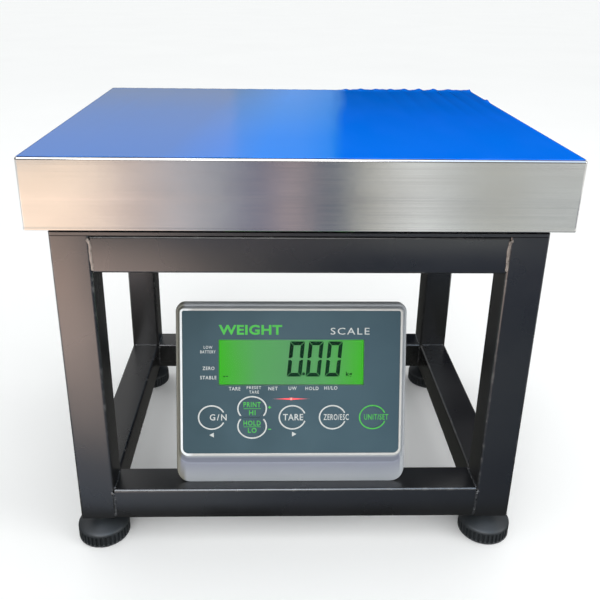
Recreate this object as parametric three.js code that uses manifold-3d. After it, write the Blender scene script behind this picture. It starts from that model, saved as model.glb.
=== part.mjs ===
// Platform scale on a welded square-tube stand, with a weighing indicator on its lower front rail.
// Millimetres. +X right, +Y to the back, +Z up. The origin is on the floor, under the middle of the pan.
import * as THREE from 'three';
import { mergeVertices } from 'three/addons/utils/BufferGeometryUtils.js';
import Module from 'manifold-3d';

const wasm = await Module();
wasm.setup();

// ---------------------------------------------------------------- driving dimensions
const PAN = { width: 500, depth: 400, skirt: 67, sheet: 1.5, corner: 3, bend: 2, film: 0.3 };
const STAND = { width: 470, depth: 360, height: 330, tube: 38, wall: 2, corner: 3 };
const FOOT = { height: 33, radius: 28, rim: 16, hubRadius: 9.5, hubTop: 26, floor: 6, studRadius: 6 };
const FOOT_THREAD_LENGTH = 50;
const SKIRT_GAP = 12; // from the stand's top to the pan's lower edge
const FIT = 0.2; // free space left between pieces that touch, are welded or are screwed together

const BASE = { sheet: 3, boss: 8, stopRadius: 8, stopGap: 1 };
const CELL = { length: 150, width: 40, height: 30, boreRadius: 9, boreX: 14, slot: 8 };
const SPIDER = { armX: 190, armWidth: 28, armLength: 330, beamWidth: 70, height: 25 };
const PAD = { radius: 14, height: 4, y: 140 };
const BOLT = { radius: 4, head: 6.5, headHeight: 5, bite: 12 }; // bite is the length held in the thread
const CELL_BOLT_X = 62; // bolts of the load cell, from its middle
const CELL_BOLT_Y = 11;
const BOSS_START = CELL.boreX + CELL.boreRadius + 10; // where the cell's two mounting faces begin
const BASE_BOLT_Y = 100;
const STOP_Y = 110;

// The indicator is drawn upright (X across, Y into it, Z up its face) and then leaned back.
const CASE = { width: 250, height: 199, ledge: 4, split: 18, back: 62, wall: 2.5 };
const CASE_CORNER = { top: 9, bottom: 15 };
const CASE_X = -6; // middle of the indicator
const CASE_SETBACK = 9; // from the rail's front face to the indicator's lower edge
const LEAN = THREE.MathUtils.degToRad(16.5);
const FACE = { width: 235, bottom: 34.5, top: 191.5, rim: 2.2, sunk: 0.3, sheet: 0.8 };
const FACE_CORNER = { top: 2, bottom: 6 };
const SCREEN = { width: 157, bottom: 110, top: 160 };
const KEY = { pitch: 43.7, middle: 74.5, halfWidth: 13.2, halfHeight: 12, gap: 0.25, travel: 0.7 };
const PAIR = { halfWidth: 14.6, halfHeight: 12.4, offset: 9.8, waist: 0.5 };
const BOARD = { width: 216, bottom: 26, height: 140, sheet: 1.6, front: 13 };
const BATTERY = { width: 100, thick: 34, height: 70, front: 20, bottom: 58 };
const BRACKET = { width: 120, sheet: 3, drop: 28, reach: 34 };
const PORT_HEIGHT = 46; // the row of connectors on the indicator's back

const ARC = 4; // straight steps in each quarter-round corner
const TURN = 16; // straight steps in a full circle

// ---------------------------------------------------------------- levels and places worked out from them
const LEG_BOTTOM = FOOT.height;
const STAND_TOP = LEG_BOTTOM + STAND.height;
const SKIRT_BOTTOM = STAND_TOP + SKIRT_GAP;
const FILM_TOP = SKIRT_BOTTOM + PAN.skirt;
const PAN_TOP = FILM_TOP - PAN.film;
const PAD_TOP = PAN_TOP - PAN.sheet - FIT;
const SPIDER_TOP = PAD_TOP - PAD.height - FIT;
const SPIDER_BOTTOM = SPIDER_TOP - SPIDER.height;
const BASE_TOP = STAND_TOP + FIT + BASE.sheet;
const CELL_BOTTOM = BASE_TOP + BASE.boss + FIT;
const CELL_TOP = CELL_BOTTOM + CELL.height;
const LEG_X = (STAND.width - STAND.tube) / 2;
const LEG_Y = (STAND.depth - STAND.tube) / 2;
const RAIL_TOP = LEG_BOTTOM + STAND.tube; // top face of the lower rails
const SIDES = { left: -1, right: 1 };
const ENDS = { front: -1, back: 1 };

// ---------------------------------------------------------------- solids: making, joining, cutting
const closed = (geometry) => {
  const bare = geometry.index ? geometry.toNonIndexed() : geometry.clone();
  bare.deleteAttribute('normal');
  bare.deleteAttribute('uv');
  return mergeVertices(bare, 1e-5);
};

const solid = (geometry) => {
  const { index, attributes } = closed(geometry);
  const mesh = new wasm.Mesh({
    numProp: 3,
    vertProperties: new Float32Array(attributes.position.array),
    triVerts: new Uint32Array(index.array),
  });
  return new wasm.Manifold(mesh);
};

const join = (first, ...others) => others.reduce((whole, piece) => whole.add(piece), first);
const cut = (first, ...others) => others.reduce((whole, piece) => whole.subtract(piece), first);

const geometryOf = (piece) => {
  const { vertProperties, triVerts } = piece.getMesh();
  const geometry = new THREE.BufferGeometry();
  geometry.setAttribute('position', new THREE.BufferAttribute(vertProperties, 3));
  geometry.setIndex(new THREE.BufferAttribute(triVerts, 1));
  geometry.computeVertexNormals();
  return geometry;
};

// A block between two corners.
const block = (x0, x1, y0, y1, z0, z1) => {
  const geometry = new THREE.BoxGeometry(x1 - x0, y1 - y0, z1 - z0);
  return solid(geometry.translate((x0 + x1) / 2, (y0 + y1) / 2, (z0 + z1) / 2));
};

// A round bar, or with six sides a hexagonal one, standing on (x, y) from z0 to z1.
const bar = (radius, x, y, z0, z1, sides = TURN) => {
  const geometry = new THREE.CylinderGeometry(radius, radius, z1 - z0, sides);
  return solid(geometry.rotateX(Math.PI / 2).translate(x, y, (z0 + z1) / 2));
};

// A round bar along Y, through (x, z) from y0 to y1.
const crossBar = (radius, x, z, y0, y1, sides = TURN) => {
  const geometry = new THREE.CylinderGeometry(radius, radius, y1 - y0, sides);
  return solid(geometry.translate(x, (y0 + y1) / 2, z));
};

// A rectangle from (x0, y0) to (x1, y1) whose lower and upper corners are round.
const roundRect = (x0, x1, y0, y1, lower, upper = lower, Outline = THREE.Shape) => {
  const outline = new Outline();
  outline.absarc(x1 - lower, y0 + lower, lower, -Math.PI / 2, 0);
  outline.absarc(x1 - upper, y1 - upper, upper, 0, Math.PI / 2);
  outline.absarc(x0 + upper, y1 - upper, upper, Math.PI / 2, Math.PI);
  outline.absarc(x0 + lower, y0 + lower, lower, Math.PI, Math.PI * 1.5);
  outline.closePath();
  return outline;
};

const extruded = (shape, length, bevel = 0, curveSegments = ARC) =>
  new THREE.ExtrudeGeometry(shape, {
    depth: length - 2 * bevel,
    curveSegments,
    bevelEnabled: bevel > 0,
    bevelThickness: bevel,
    bevelSize: bevel,
    bevelOffset: -bevel,
    bevelSegments: 2,
  }).translate(0, 0, bevel);

// A slab whose outline is drawn on the indicator's face, from depth y0 to depth y1 behind it.
const faceSlab = (shape, y0, y1, curveSegments = ARC) =>
  solid(extruded(shape, y1 - y0, 0, curveSegments).rotateX(Math.PI / 2).translate(0, y1, 0));

// ---------------------------------------------------------------- finishes
const finish = (color, roughness, metalness) => () =>
  new THREE.MeshStandardMaterial({ color, roughness, metalness });
const blackPaint = finish(0x3a3a3c, 0.45, 0.3);
const stainless = finish(0xc9c7c4, 0.28, 1);
const blueFilm = finish(0x1e62d8, 0.15, 0);
const zincSteel = finish(0xb5b8ba, 0.35, 1);
const castAluminium = finish(0xa9abad, 0.5, 0.9);
const cellAluminium = finish(0xd0d2d4, 0.35, 1);
const blackPlastic = finish(0x232526, 0.5, 0);
const blackRubber = finish(0x1a1a1a, 0.85, 0);
const greyPlastic = finish(0xa4a5a8, 0.5, 0);
const faceFilm = finish(0x4a606b, 0.45, 0);
const clearPlastic = finish(0xcfe8d0, 0.08, 0);
const greenScreen = finish(0x3fb34a, 0.3, 0);
const boardGreen = finish(0x1f5a35, 0.6, 0);
const batteryGrey = finish(0x55585c, 0.6, 0);

const scale = new THREE.Group();

const add = (group, name, piece, material, place = [0, 0, 0]) => {
  const geometry = piece instanceof THREE.BufferGeometry ? piece : geometryOf(piece);
  const mesh = new THREE.Mesh(geometry, material());
  mesh.name = name;
  mesh.position.set(...place);
  group.add(mesh);
  return mesh;
};

// ---------------------------------------------------------------- stand: square tubes, welded
const tubeSection = () => {
  const half = STAND.tube / 2;
  const inside = half - STAND.wall;
  const section = roundRect(-half, half, -half, half, STAND.corner);
  const innerCorner = STAND.corner - STAND.wall;
  section.holes.push(roundRect(-inside, inside, -inside, inside, innerCorner, innerCorner, THREE.Path));
  return section;
};

// A leg stands on its own lower end. A threaded plate closes that end and a plain one the top.
const makeLeg = () => {
  const inside = STAND.tube / 2 - STAND.wall / 2;
  const endPlate = 5;
  const tube = solid(extruded(tubeSection(), STAND.height, 0, 2));
  const foot = block(-inside, inside, -inside, inside, 0, endPlate);
  const cap = block(-inside, inside, -inside, inside, STAND.height - STAND.wall, STAND.height);
  return cut(join(tube, foot, cap), bar(FOOT.studRadius + FIT, 0, 0, -1, endPlate + 1));
};

const railBetween = (distance) => extruded(tubeSection(), distance - STAND.tube - 2 * FIT, 0, 2);

const makeCrossRail = () => {
  const rail = railBetween(2 * LEG_X);
  return rail.rotateY(Math.PI / 2).translate(FIT + STAND.tube / 2 - LEG_X, 0, 0);
};

const makeSideRail = () => {
  const rail = railBetween(2 * LEG_Y);
  return rail.rotateX(-Math.PI / 2).translate(0, FIT + STAND.tube / 2 - LEG_Y, 0);
};

// The upper side rails have two clearance holes in their top wall, for the base plate's bolts.
const makeDrilledSideRail = () => {
  const top = STAND.tube / 2;
  const holes = [-BASE_BOLT_Y, BASE_BOLT_Y].map((y) =>
    bar(BOLT.radius + FIT, 0, y, top - 2 * STAND.wall, top + 1));
  return cut(solid(makeSideRail()), ...holes);
};

const buildStand = () => {
  const stand = new THREE.Group();
  const levels = { upper: STAND_TOP - STAND.tube / 2, lower: LEG_BOTTOM + STAND.tube / 2 };
  for (const [end, ey] of Object.entries(ENDS)) {
    for (const [side, sx] of Object.entries(SIDES)) {
      add(stand, `leg_${end}_${side}`, makeLeg(), blackPaint, [sx * LEG_X, ey * LEG_Y, LEG_BOTTOM]);
    }
  }
  for (const [level, z] of Object.entries(levels)) {
    for (const [end, ey] of Object.entries(ENDS)) {
      add(stand, `rail_${level}_${end}`, makeCrossRail(), blackPaint, [0, ey * LEG_Y, z]);
    }
    for (const [side, sx] of Object.entries(SIDES)) {
      const rail = level === 'upper' ? makeDrilledSideRail() : makeSideRail();
      add(stand, `rail_${level}_${side}`, rail, blackPaint, [sx * LEG_X, 0, z]);
    }
  }
  return stand;
};

// ---------------------------------------------------------------- levelling feet: a thumb wheel on a stud
const makeFootWheel = () => {
  const bore = FOOT.studRadius + FIT;
  const profile = [
    [0, 0],
    [FOOT.radius - 3, 0],
    [FOOT.radius, 2],
    [FOOT.radius, FOOT.rim - 1],
    [FOOT.radius - 1.5, FOOT.rim],
    [FOOT.radius - 7, FOOT.rim + 4],
    [FOOT.hubRadius + 4, FOOT.hubTop - 3],
    [FOOT.hubRadius, FOOT.hubTop - 2],
    [FOOT.hubRadius, FOOT.hubTop],
    [bore, FOOT.hubTop],
    [bore, FOOT.floor],
    [0, FOOT.floor],
  ].map(([r, z]) => new THREE.Vector2(r, z));
  return new THREE.LatheGeometry(profile, 2 * TURN).rotateX(Math.PI / 2);
};

const buildFeet = () => {
  const feet = new THREE.Group();
  const studBottom = FOOT.floor + FIT;
  for (const [end, ey] of Object.entries(ENDS)) {
    for (const [side, sx] of Object.entries(SIDES)) {
      const foot = new THREE.Group();
      foot.position.set(sx * LEG_X, ey * LEG_Y, 0);
      const stud = bar(FOOT.studRadius, 0, 0, studBottom, studBottom + FOOT_THREAD_LENGTH);
      add(foot, `foot_stud_${end}_${side}`, stud, zincSteel);
      add(foot, `foot_wheel_${end}_${side}`, makeFootWheel(), blackPlastic);
      feet.add(foot);
    }
  }
  return feet;
};

// ---------------------------------------------------------------- weighing platform
// The base plate covers the stand. It carries the load cell's fixed end and four overload stops.
const makeBasePlate = () => {
  const { width, depth, corner } = STAND;
  const sheetBottom = STAND_TOP + FIT;
  const outline = roundRect(-width / 2, width / 2, -depth / 2, depth / 2, corner);
  const sheet = solid(extruded(outline, BASE.sheet, 0, 2).translate(0, 0, sheetBottom));
  const half = { x: CELL.length / 2, y: CELL.width / 2 };
  const boss = block(-half.x, -BOSS_START, -half.y, half.y, BASE_TOP - 1, BASE_TOP + BASE.boss);
  const stops = [];
  const holes = [-CELL_BOLT_Y, CELL_BOLT_Y].map((y) =>
    bar(BOLT.radius + FIT, -CELL_BOLT_X, y, sheetBottom - 1, CELL_BOTTOM + 1));
  for (const sx of Object.values(SIDES)) {
    for (const ey of Object.values(ENDS)) {
      const stopTop = SPIDER_BOTTOM - BASE.stopGap;
      stops.push(bar(BASE.stopRadius, sx * SPIDER.armX, ey * STOP_Y, BASE_TOP - 1, stopTop));
      holes.push(bar(BOLT.radius + FIT, sx * LEG_X, ey * BASE_BOLT_Y, sheetBottom - 1, BASE_TOP + 1));
    }
  }
  return cut(join(sheet, boss, ...stops), ...holes);
};

// A single-point cell: an aluminium beam whose middle is thinned by two bores joined by a slot.
const makeLoadCell = () => {
  const half = { x: CELL.length / 2, y: CELL.width / 2 };
  const middle = (CELL_BOTTOM + CELL_TOP) / 2;
  const beam = block(-half.x, half.x, -half.y, half.y, CELL_BOTTOM, CELL_TOP);
  const [y0, y1] = [-half.y - 1, half.y + 1];
  const bores = [-CELL.boreX, CELL.boreX].map((x) => crossBar(CELL.boreRadius, x, middle, y0, y1));
  const slot = block(-CELL.boreX, CELL.boreX, y0, y1, middle - CELL.slot / 2, middle + CELL.slot / 2);
  const taps = [-CELL_BOLT_Y, CELL_BOLT_Y].flatMap((y) => [
    bar(BOLT.radius + FIT, -CELL_BOLT_X, y, CELL_BOTTOM - 1, CELL_BOTTOM + BOLT.bite + 2),
    bar(BOLT.radius + FIT, CELL_BOLT_X, y, CELL_TOP - BOLT.bite - 2, CELL_TOP + 1),
  ]);
  return cut(beam, ...bores, slot, ...taps);
};

// The spider is a cast H: two arms under the pan's ends, and a beam over the load cell's free end.
const makeSpider = () => {
  const { armX, armWidth, armLength, beamWidth } = SPIDER;
  const arms = [-armX, armX].map((x) =>
    block(x - armWidth / 2, x + armWidth / 2, -armLength / 2, armLength / 2, SPIDER_BOTTOM, SPIDER_TOP));
  const beam = block(-armX, armX, -beamWidth / 2, beamWidth / 2, SPIDER_BOTTOM, SPIDER_TOP);
  const half = { x: CELL.length / 2, y: CELL.width / 2 };
  const boss = block(BOSS_START, half.x, -half.y, half.y, CELL_TOP + FIT, SPIDER_BOTTOM + 1);
  const holes = [-CELL_BOLT_Y, CELL_BOLT_Y].flatMap((y) => [
    bar(BOLT.radius + FIT, CELL_BOLT_X, y, CELL_TOP, SPIDER_TOP + 1),
    bar(BOLT.head + 1, CELL_BOLT_X, y, SPIDER_TOP - 2 * BOLT.headHeight, SPIDER_TOP + 1),
  ]);
  return cut(join(beam, ...arms, boss), ...holes);
};

// The pan is a folded sheet: a flat top with a skirt all round, open underneath.
const makePan = () => {
  const { width, depth, sheet, corner, bend } = PAN;
  const outline = (inset) =>
    roundRect(inset - width / 2, width / 2 - inset, inset - depth / 2, depth / 2 - inset, corner - inset);
  const height = PAN_TOP - SKIRT_BOTTOM;
  const folded = extruded(outline(0), height + bend, bend, 3).translate(0, 0, SKIRT_BOTTOM - bend);
  const inside = extruded(outline(sheet), height - sheet + bend, 0, 3);
  const below = block(-width, width, -depth, depth, SKIRT_BOTTOM - 2 * bend, SKIRT_BOTTOM);
  return cut(solid(folded), below, solid(inside.translate(0, 0, SKIRT_BOTTOM - bend)));
};

const makeFilm = () => {
  const x = PAN.width / 2 - PAN.bend;
  const y = PAN.depth / 2 - PAN.bend;
  return block(-x, x, -y, y, PAN_TOP, FILM_TOP);
};

// A hexagon-head bolt: its seat is at z = 0, its shank goes up, and its head hangs below.
const makeBolt = (length) =>
  join(bar(BOLT.head, 0, 0, -BOLT.headHeight, 0, 6), bar(BOLT.radius, 0, 0, -1, length, TURN / 2));

const buildPlatform = () => {
  const platform = new THREE.Group();
  add(platform, 'base_plate', makeBasePlate(), blackPaint);
  add(platform, 'load_cell', makeLoadCell(), cellAluminium);
  add(platform, 'spider', makeSpider(), castAluminium);
  add(platform, 'platter_pan', makePan(), stainless);
  add(platform, 'pan_film', makeFilm(), blueFilm);
  const counterbore = SPIDER_TOP - 2 * BOLT.headHeight + FIT;
  for (const [end, ey] of Object.entries(ENDS)) {
    const y = ey * CELL_BOLT_Y;
    const lowLength = CELL_BOTTOM + BOLT.bite - STAND_TOP;
    const highLength = counterbore - CELL_TOP + BOLT.bite;
    add(platform, `cell_bolt_fixed_${end}`, makeBolt(lowLength), zincSteel, [-CELL_BOLT_X, y, STAND_TOP]);
    const high = [CELL_BOLT_X, y, counterbore];
    add(platform, `cell_bolt_free_${end}`, makeBolt(highLength), zincSteel, high).rotation.x = Math.PI;
    for (const [side, sx] of Object.entries(SIDES)) {
      const pad = bar(PAD.radius, 0, 0, 0, PAD.height);
      const padPlace = [sx * SPIDER.armX, ey * PAD.y, PAD_TOP - PAD.height];
      add(platform, `pad_${end}_${side}`, pad, blackRubber, padPlace);
      const seat = [sx * LEG_X, ey * BASE_BOLT_Y, BASE_TOP + FIT];
      add(platform, `base_bolt_${end}_${side}`, makeBolt(BOLT.bite), zincSteel, seat).rotation.x = Math.PI;
    }
  }
  return platform;
};

// ---------------------------------------------------------------- indicator
const KEYS = {
  key_gross_net: [-2, 0],
  key_print: [-1, 1],
  key_hold: [-1, -1],
  key_tare: [0, 0],
  key_zero: [1, 0],
  key_unit: [2, 0],
};

// The outline of one key, or, with some extra all round, of the hole it moves in.
const keyShape = ([column, row], extra = 0, Outline = THREE.Shape) => {
  const size = row === 0 ? KEY : PAIR;
  const outline = new Outline();
  const height = KEY.middle + row * PAIR.offset;
  const [rx, ry] = [size.halfWidth + extra, size.halfHeight + extra];
  outline.absellipse(column * KEY.pitch, height, rx, ry, 0, 2 * Math.PI);
  return outline;
};

// The paired keys meet at a waist, so each is trimmed by the line between them.
const keySlab = (place, y0, y1, extra = 0) => {
  const slab = faceSlab(keyShape(place, extra), y0, y1, TURN / 2);
  const [column, row] = place;
  if (row === 0) return slab;
  const x = column * KEY.pitch;
  const reach = 2 * PAIR.halfWidth;
  const waist = KEY.middle + row * (PAIR.waist - extra);
  const far = KEY.middle - row * reach;
  return cut(slab, block(x - reach, x + reach, y0 - 1, y1 + 1, Math.min(waist, far), Math.max(waist, far)));
};

const centredRect = (width, bottom, top, lower, upper = lower) =>
  roundRect(-width / 2, width / 2, bottom, top, lower, upper);

// The face's outline, drawn smaller by an inset all round, or larger by a negative one.
const faceRect = (inset) => {
  const { width, bottom, top } = FACE;
  const [lower, upper] = [FACE_CORNER.bottom - inset, FACE_CORNER.top - inset];
  return centredRect(width - 2 * inset, bottom + inset, top - inset, lower, upper);
};

// The front shell: a rounded casing, a raised frame round the face, and a cavity open to the back.
const makeFrontShell = () => {
  const { width, height, ledge, split, wall } = CASE;
  const { top, bottom } = CASE_CORNER;
  const casing = faceSlab(centredRect(width, 0, height, bottom, top), ledge, split);
  const frame = faceRect(-FACE.rim);
  const floor = FACE.sunk + FACE.sheet;
  const recess = faceSlab(faceRect(0), -1, floor);
  const cavity = faceSlab(centredRect(width - 2 * wall, wall, height - wall, bottom - wall, top - wall),
    ledge + wall, split + 1);
  const opening = faceSlab(centredRect(SCREEN.width, SCREEN.bottom, SCREEN.top, 1), 0, split);
  const pockets = Object.values(KEYS).map((place) =>
    keySlab(place, floor - 1, floor + KEY.travel + 2 * FIT, KEY.gap));
  const base = leanCut(-1, split + 1);
  return cut(join(casing, faceSlab(frame, 0, ledge + 1)), recess, cavity, opening, ...pockets, base);
};

// Everything under the indicator's level base, which rises towards its back because the face leans.
const leanCut = (y0, y1) => {
  const slope = Math.tan(LEAN);
  const under = -FACE.bottom;
  const outline = new THREE.Shape();
  outline.moveTo(y0, under);
  outline.lineTo(y1, under);
  outline.lineTo(y1, y1 * slope);
  outline.lineTo(y0, y0 * slope);
  outline.closePath();
  return sideSlab(outline, CASE.width + 20);
};

// A slab whose outline is drawn from the side (Y then Z), centred across the indicator.
const sideSlab = (shape, width, bevel = 0) => {
  const axes = [new THREE.Vector3(0, 1, 0), new THREE.Vector3(0, 0, 1), new THREE.Vector3(1, 0, 0)];
  const turned = extruded(shape, width, bevel).applyMatrix4(new THREE.Matrix4().makeBasis(...axes));
  return solid(turned.translate(-width / 2, 0, 0));
};

// The rear shell's top runs back to `shoulder`, then slopes down to `backTop`, its upright back's top.
const REAR = { step: 1, shoulder: 30, shoulderDrop: 4, backTop: 150 };

// Side outline of the rear shell: level base, upright back, and a top that slopes down to it.
const rearOutline = (front, inset) => {
  const slope = Math.tan(LEAN);
  const back = CASE.back - inset;
  const base = inset / Math.cos(LEAN);
  const outline = new THREE.Shape();
  outline.moveTo(front, front * slope + base);
  outline.lineTo(back, back * slope + base);
  outline.lineTo(back, REAR.backTop - inset);
  outline.lineTo(REAR.shoulder, CASE.height - REAR.shoulderDrop - inset);
  outline.lineTo(front, CASE.height - REAR.step - inset);
  outline.closePath();
  return outline;
};

const PORTS = { gland: -70, inlet: -20, powerSwitch: 60 };
const GLAND = { body: 6, nut: 10, length: 9, bore: 3.5 };
const INLET = { halfWidth: 7, halfHeight: 5.5, depth: 11, bore: 3.2, pin: 1 };
const SWITCH = { halfWidth: 10.5, halfHeight: 6.5, depth: 13, slotWidth: 9.3, slotHeight: 5.4 };
const SCREW = { x: 100, heights: { lower: 32, upper: 135 }, head: 3.5, headHeight: 2.6, shank: 1.5 };
const ROCKER = { halfWidth: 8.2, halfHeight: 5, front: 3.6, back: 3.4, tilt: THREE.MathUtils.degToRad(8) };

const makeRearShell = () => {
  const { width, split, wall, back } = CASE;
  const outside = sideSlab(rearOutline(split - 8, 0), width - 2, 6);
  const inside = sideSlab(rearOutline(split - 12, wall), width - 2 - 2 * wall);
  const front = block(-width, width, -50, split + FIT, -50, 2 * CASE.height);
  const [y0, y1] = [back - 2 * wall, back + 5];
  const screwHole = (x, z) => crossBar(SCREW.shank + FIT, x, z, y0, y1, TURN / 2);
  const screwHoles = Object.values(SIDES).flatMap((sx) =>
    Object.values(SCREW.heights).map((z) => screwHole(sx * SCREW.x, z)));
  const holes = [
    ...screwHoles,
    crossBar(GLAND.body + FIT, PORTS.gland, PORT_HEIGHT, y0, y1),
    portHole(PORTS.inlet, INLET, y0, y1),
    portHole(PORTS.powerSwitch, SWITCH, y0, y1),
  ];
  return cut(outside, inside, front, ...holes);
};

const portHole = (x, { halfWidth, halfHeight }, y0, y1) =>
  block(x - halfWidth - FIT, x + halfWidth + FIT, y0, y1,
    PORT_HEIGHT - halfHeight - FIT, PORT_HEIGHT + halfHeight + FIT);

// The face sheet has a window for the screen and a hole for each key, or for each pair of keys.
const makeFaceSheet = () => {
  const [y0, y1] = [FACE.sunk, FACE.sunk + FACE.sheet - FIT];
  const plate = faceSlab(faceRect(FIT), y0, y1);
  const screen = faceSlab(centredRect(SCREEN.width, SCREEN.bottom, SCREEN.top, 1), y0 - 1, y1 + 1);
  const holes = Object.values(KEYS).map((place) => keySlab(place, y0 - 1, y1 + 1, KEY.gap));
  return cut(plate, screen, ...holes);
};

const makeGland = () => {
  const outside = CASE.back + FIT;
  const y = (from, to) => [PORTS.gland, PORT_HEIGHT, outside + from, outside + to];
  const body = crossBar(GLAND.body, ...y(-8, GLAND.length + 4), TURN);
  const nut = crossBar(GLAND.nut, ...y(0, GLAND.length), 6);
  return cut(join(body, nut), crossBar(GLAND.bore, ...y(-9, GLAND.length + 5), TURN / 2));
};

const flangedBox = (x, { halfWidth, halfHeight, depth }, flange, thick) => {
  const outside = CASE.back + FIT;
  const [w, h] = [halfWidth + flange, halfHeight + flange];
  const body = block(x - halfWidth, x + halfWidth, outside - depth, outside + 0.5,
    PORT_HEIGHT - halfHeight, PORT_HEIGHT + halfHeight);
  return join(body, block(x - w, x + w, outside, outside + thick, PORT_HEIGHT - h, PORT_HEIGHT + h));
};

const makeInlet = () => {
  const outside = CASE.back + FIT;
  const body = flangedBox(PORTS.inlet, INLET, 1.5, 1.5);
  const bore = crossBar(INLET.bore, PORTS.inlet, PORT_HEIGHT, outside - 9, outside + 3);
  return join(cut(body, bore), crossBar(INLET.pin, PORTS.inlet, PORT_HEIGHT, outside - 10, outside, 8));
};

const makeSwitchFrame = () => {
  const outside = CASE.back + FIT;
  const x = PORTS.powerSwitch;
  const slot = block(x - SWITCH.slotWidth, x + SWITCH.slotWidth, outside - 11, outside + 5,
    PORT_HEIGHT - SWITCH.slotHeight, PORT_HEIGHT + SWITCH.slotHeight);
  return cut(flangedBox(x, SWITCH, 2, 2), slot);
};

const makeRocker = () => {
  const { halfWidth, halfHeight, front, back } = ROCKER;
  return block(-halfWidth, halfWidth, -back, front, -halfHeight, halfHeight);
};

// A pan-head screw along +Y: its head stands behind the rear shell and its shank goes forward.
const makeCaseScrew = () => join(
  crossBar(SCREW.head, 0, 0, FIT, SCREW.headHeight, TURN / 2),
  crossBar(SCREW.shank, 0, 0, -2 * CASE.wall, 1, TURN / 2),
);

const buildIndicator = () => {
  const indicator = new THREE.Group();
  indicator.position.set(CASE_X, CASE_SETBACK - STAND.depth / 2, RAIL_TOP + FIT);
  indicator.rotation.x = -LEAN;
  const front = FACE.sunk;
  const sheetBack = front + FACE.sheet - FIT;
  add(indicator, 'front_shell', makeFrontShell(), greyPlastic);
  add(indicator, 'rear_shell', makeRearShell(), greyPlastic);
  add(indicator, 'face_sheet', makeFaceSheet(), faceFilm);
  for (const [name, place] of Object.entries(KEYS)) {
    add(indicator, name, keySlab(place, front, sheetBack), faceFilm);
  }
  const screen = (inset) =>
    centredRect(SCREEN.width - 2 * inset, SCREEN.bottom + inset, SCREEN.top - inset, 1);
  add(indicator, 'screen_window', faceSlab(screen(FIT), front, sheetBack), clearPlastic);
  const glass = faceSlab(screen(1), sheetBack + FIT, CASE.ledge + CASE.wall + 1);
  const tray = faceSlab(screen(-4), CASE.ledge + CASE.wall + FIT, BOARD.front - FIT);
  add(indicator, 'display_module', join(glass, tray), greenScreen);
  const { width, bottom, height, sheet } = BOARD;
  const boardShape = centredRect(width, bottom, bottom + height, 2);
  add(indicator, 'circuit_board', faceSlab(boardShape, BOARD.front, BOARD.front + sheet), boardGreen);
  const half = BATTERY.width / 2;
  const [batteryFront, batteryBottom] = [BATTERY.front, BATTERY.bottom];
  const battery = block(-half, half, batteryFront, batteryFront + BATTERY.thick,
    batteryBottom, batteryBottom + BATTERY.height);
  add(indicator, 'battery', battery, batteryGrey);
  add(indicator, 'cable_gland', makeGland(), blackPlastic);
  add(indicator, 'power_inlet', makeInlet(), blackPlastic);
  add(indicator, 'switch_frame', makeSwitchFrame(), blackPlastic);
  const rocker = add(indicator, 'power_rocker', makeRocker(), blackPlastic,
    [PORTS.powerSwitch, CASE.back - 1, PORT_HEIGHT]);
  rocker.rotation.z = ROCKER.tilt;
  for (const [side, sx] of Object.entries(SIDES)) {
    for (const [level, z] of Object.entries(SCREW.heights)) {
      const place = [sx * SCREW.x, CASE.back, z];
      add(indicator, `case_screw_${level}_${side}`, makeCaseScrew(), zincSteel, place);
    }
  }
  return indicator;
};

// A steel angle behind the lower front rail; the part of the indicator behind the rail stands on it.
const makeBracket = () => {
  const railBack = -STAND.depth / 2 + STAND.tube + FIT;
  const half = BRACKET.width / 2;
  const [x0, x1] = [CASE_X - half, CASE_X + half];
  const upright = block(x0, x1, railBack, railBack + BRACKET.sheet, RAIL_TOP - BRACKET.drop, RAIL_TOP);
  const shelf = block(x0, x1, railBack, railBack + BRACKET.reach, RAIL_TOP - BRACKET.sheet, RAIL_TOP);
  return join(upright, shelf);
};

scale.add(buildStand(), buildFeet(), buildPlatform(), buildIndicator());
add(scale, 'indicator_bracket', makeBracket(), blackPaint);

export default scale;
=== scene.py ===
# %% [markdown]
# # A platform scale on a tube stand
#
# The real scale is a folded steel pan on a load cell. A welded stand of black square tube carries it,
# and a weighing indicator leans back on the stand's front rail. The CAD parts come in as a fixed frame.
# They give every size and place, so each new piece below starts from the box of the part it stands for.

# %% Load the frame
import math

import bmesh
import bpy
import numpy as np
from mathutils import Matrix, Vector


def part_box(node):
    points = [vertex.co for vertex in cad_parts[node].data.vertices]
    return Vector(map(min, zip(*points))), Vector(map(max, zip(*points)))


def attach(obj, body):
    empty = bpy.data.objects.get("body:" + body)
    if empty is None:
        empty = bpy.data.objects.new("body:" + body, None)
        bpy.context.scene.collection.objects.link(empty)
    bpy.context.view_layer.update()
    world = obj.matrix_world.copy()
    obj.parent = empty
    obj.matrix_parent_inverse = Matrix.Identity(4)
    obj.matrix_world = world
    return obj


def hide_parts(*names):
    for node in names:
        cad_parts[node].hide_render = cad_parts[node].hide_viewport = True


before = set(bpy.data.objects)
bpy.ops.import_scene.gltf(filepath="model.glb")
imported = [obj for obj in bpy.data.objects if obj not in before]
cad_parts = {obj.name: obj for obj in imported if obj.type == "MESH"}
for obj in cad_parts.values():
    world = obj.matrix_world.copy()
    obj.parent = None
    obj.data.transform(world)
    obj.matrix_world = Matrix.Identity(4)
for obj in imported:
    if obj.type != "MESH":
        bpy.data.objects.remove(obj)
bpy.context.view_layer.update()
MM = 0.001

# %% [markdown]
# ## Camera, floor and light
#
# The camera stands a little above the pan and looks down at it from the front. A camera is a place and
# three turns, so it is written that way: yaw turns it left and right, pitch tips it down, and roll leans
# it over. A small lens shift frames the object without tipping the uprights.

# %% Place the camera
CAMERA_PLACE = (-0.0273, -0.7976, 0.5893)
YAW, PITCH, ROLL = 0.029, 0.374, 0.014
SENSOR_WIDTH, FOCAL_LENGTH, LENS_SHIFT = 36, 42.3325, (0.01458, -0.07898)


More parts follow.
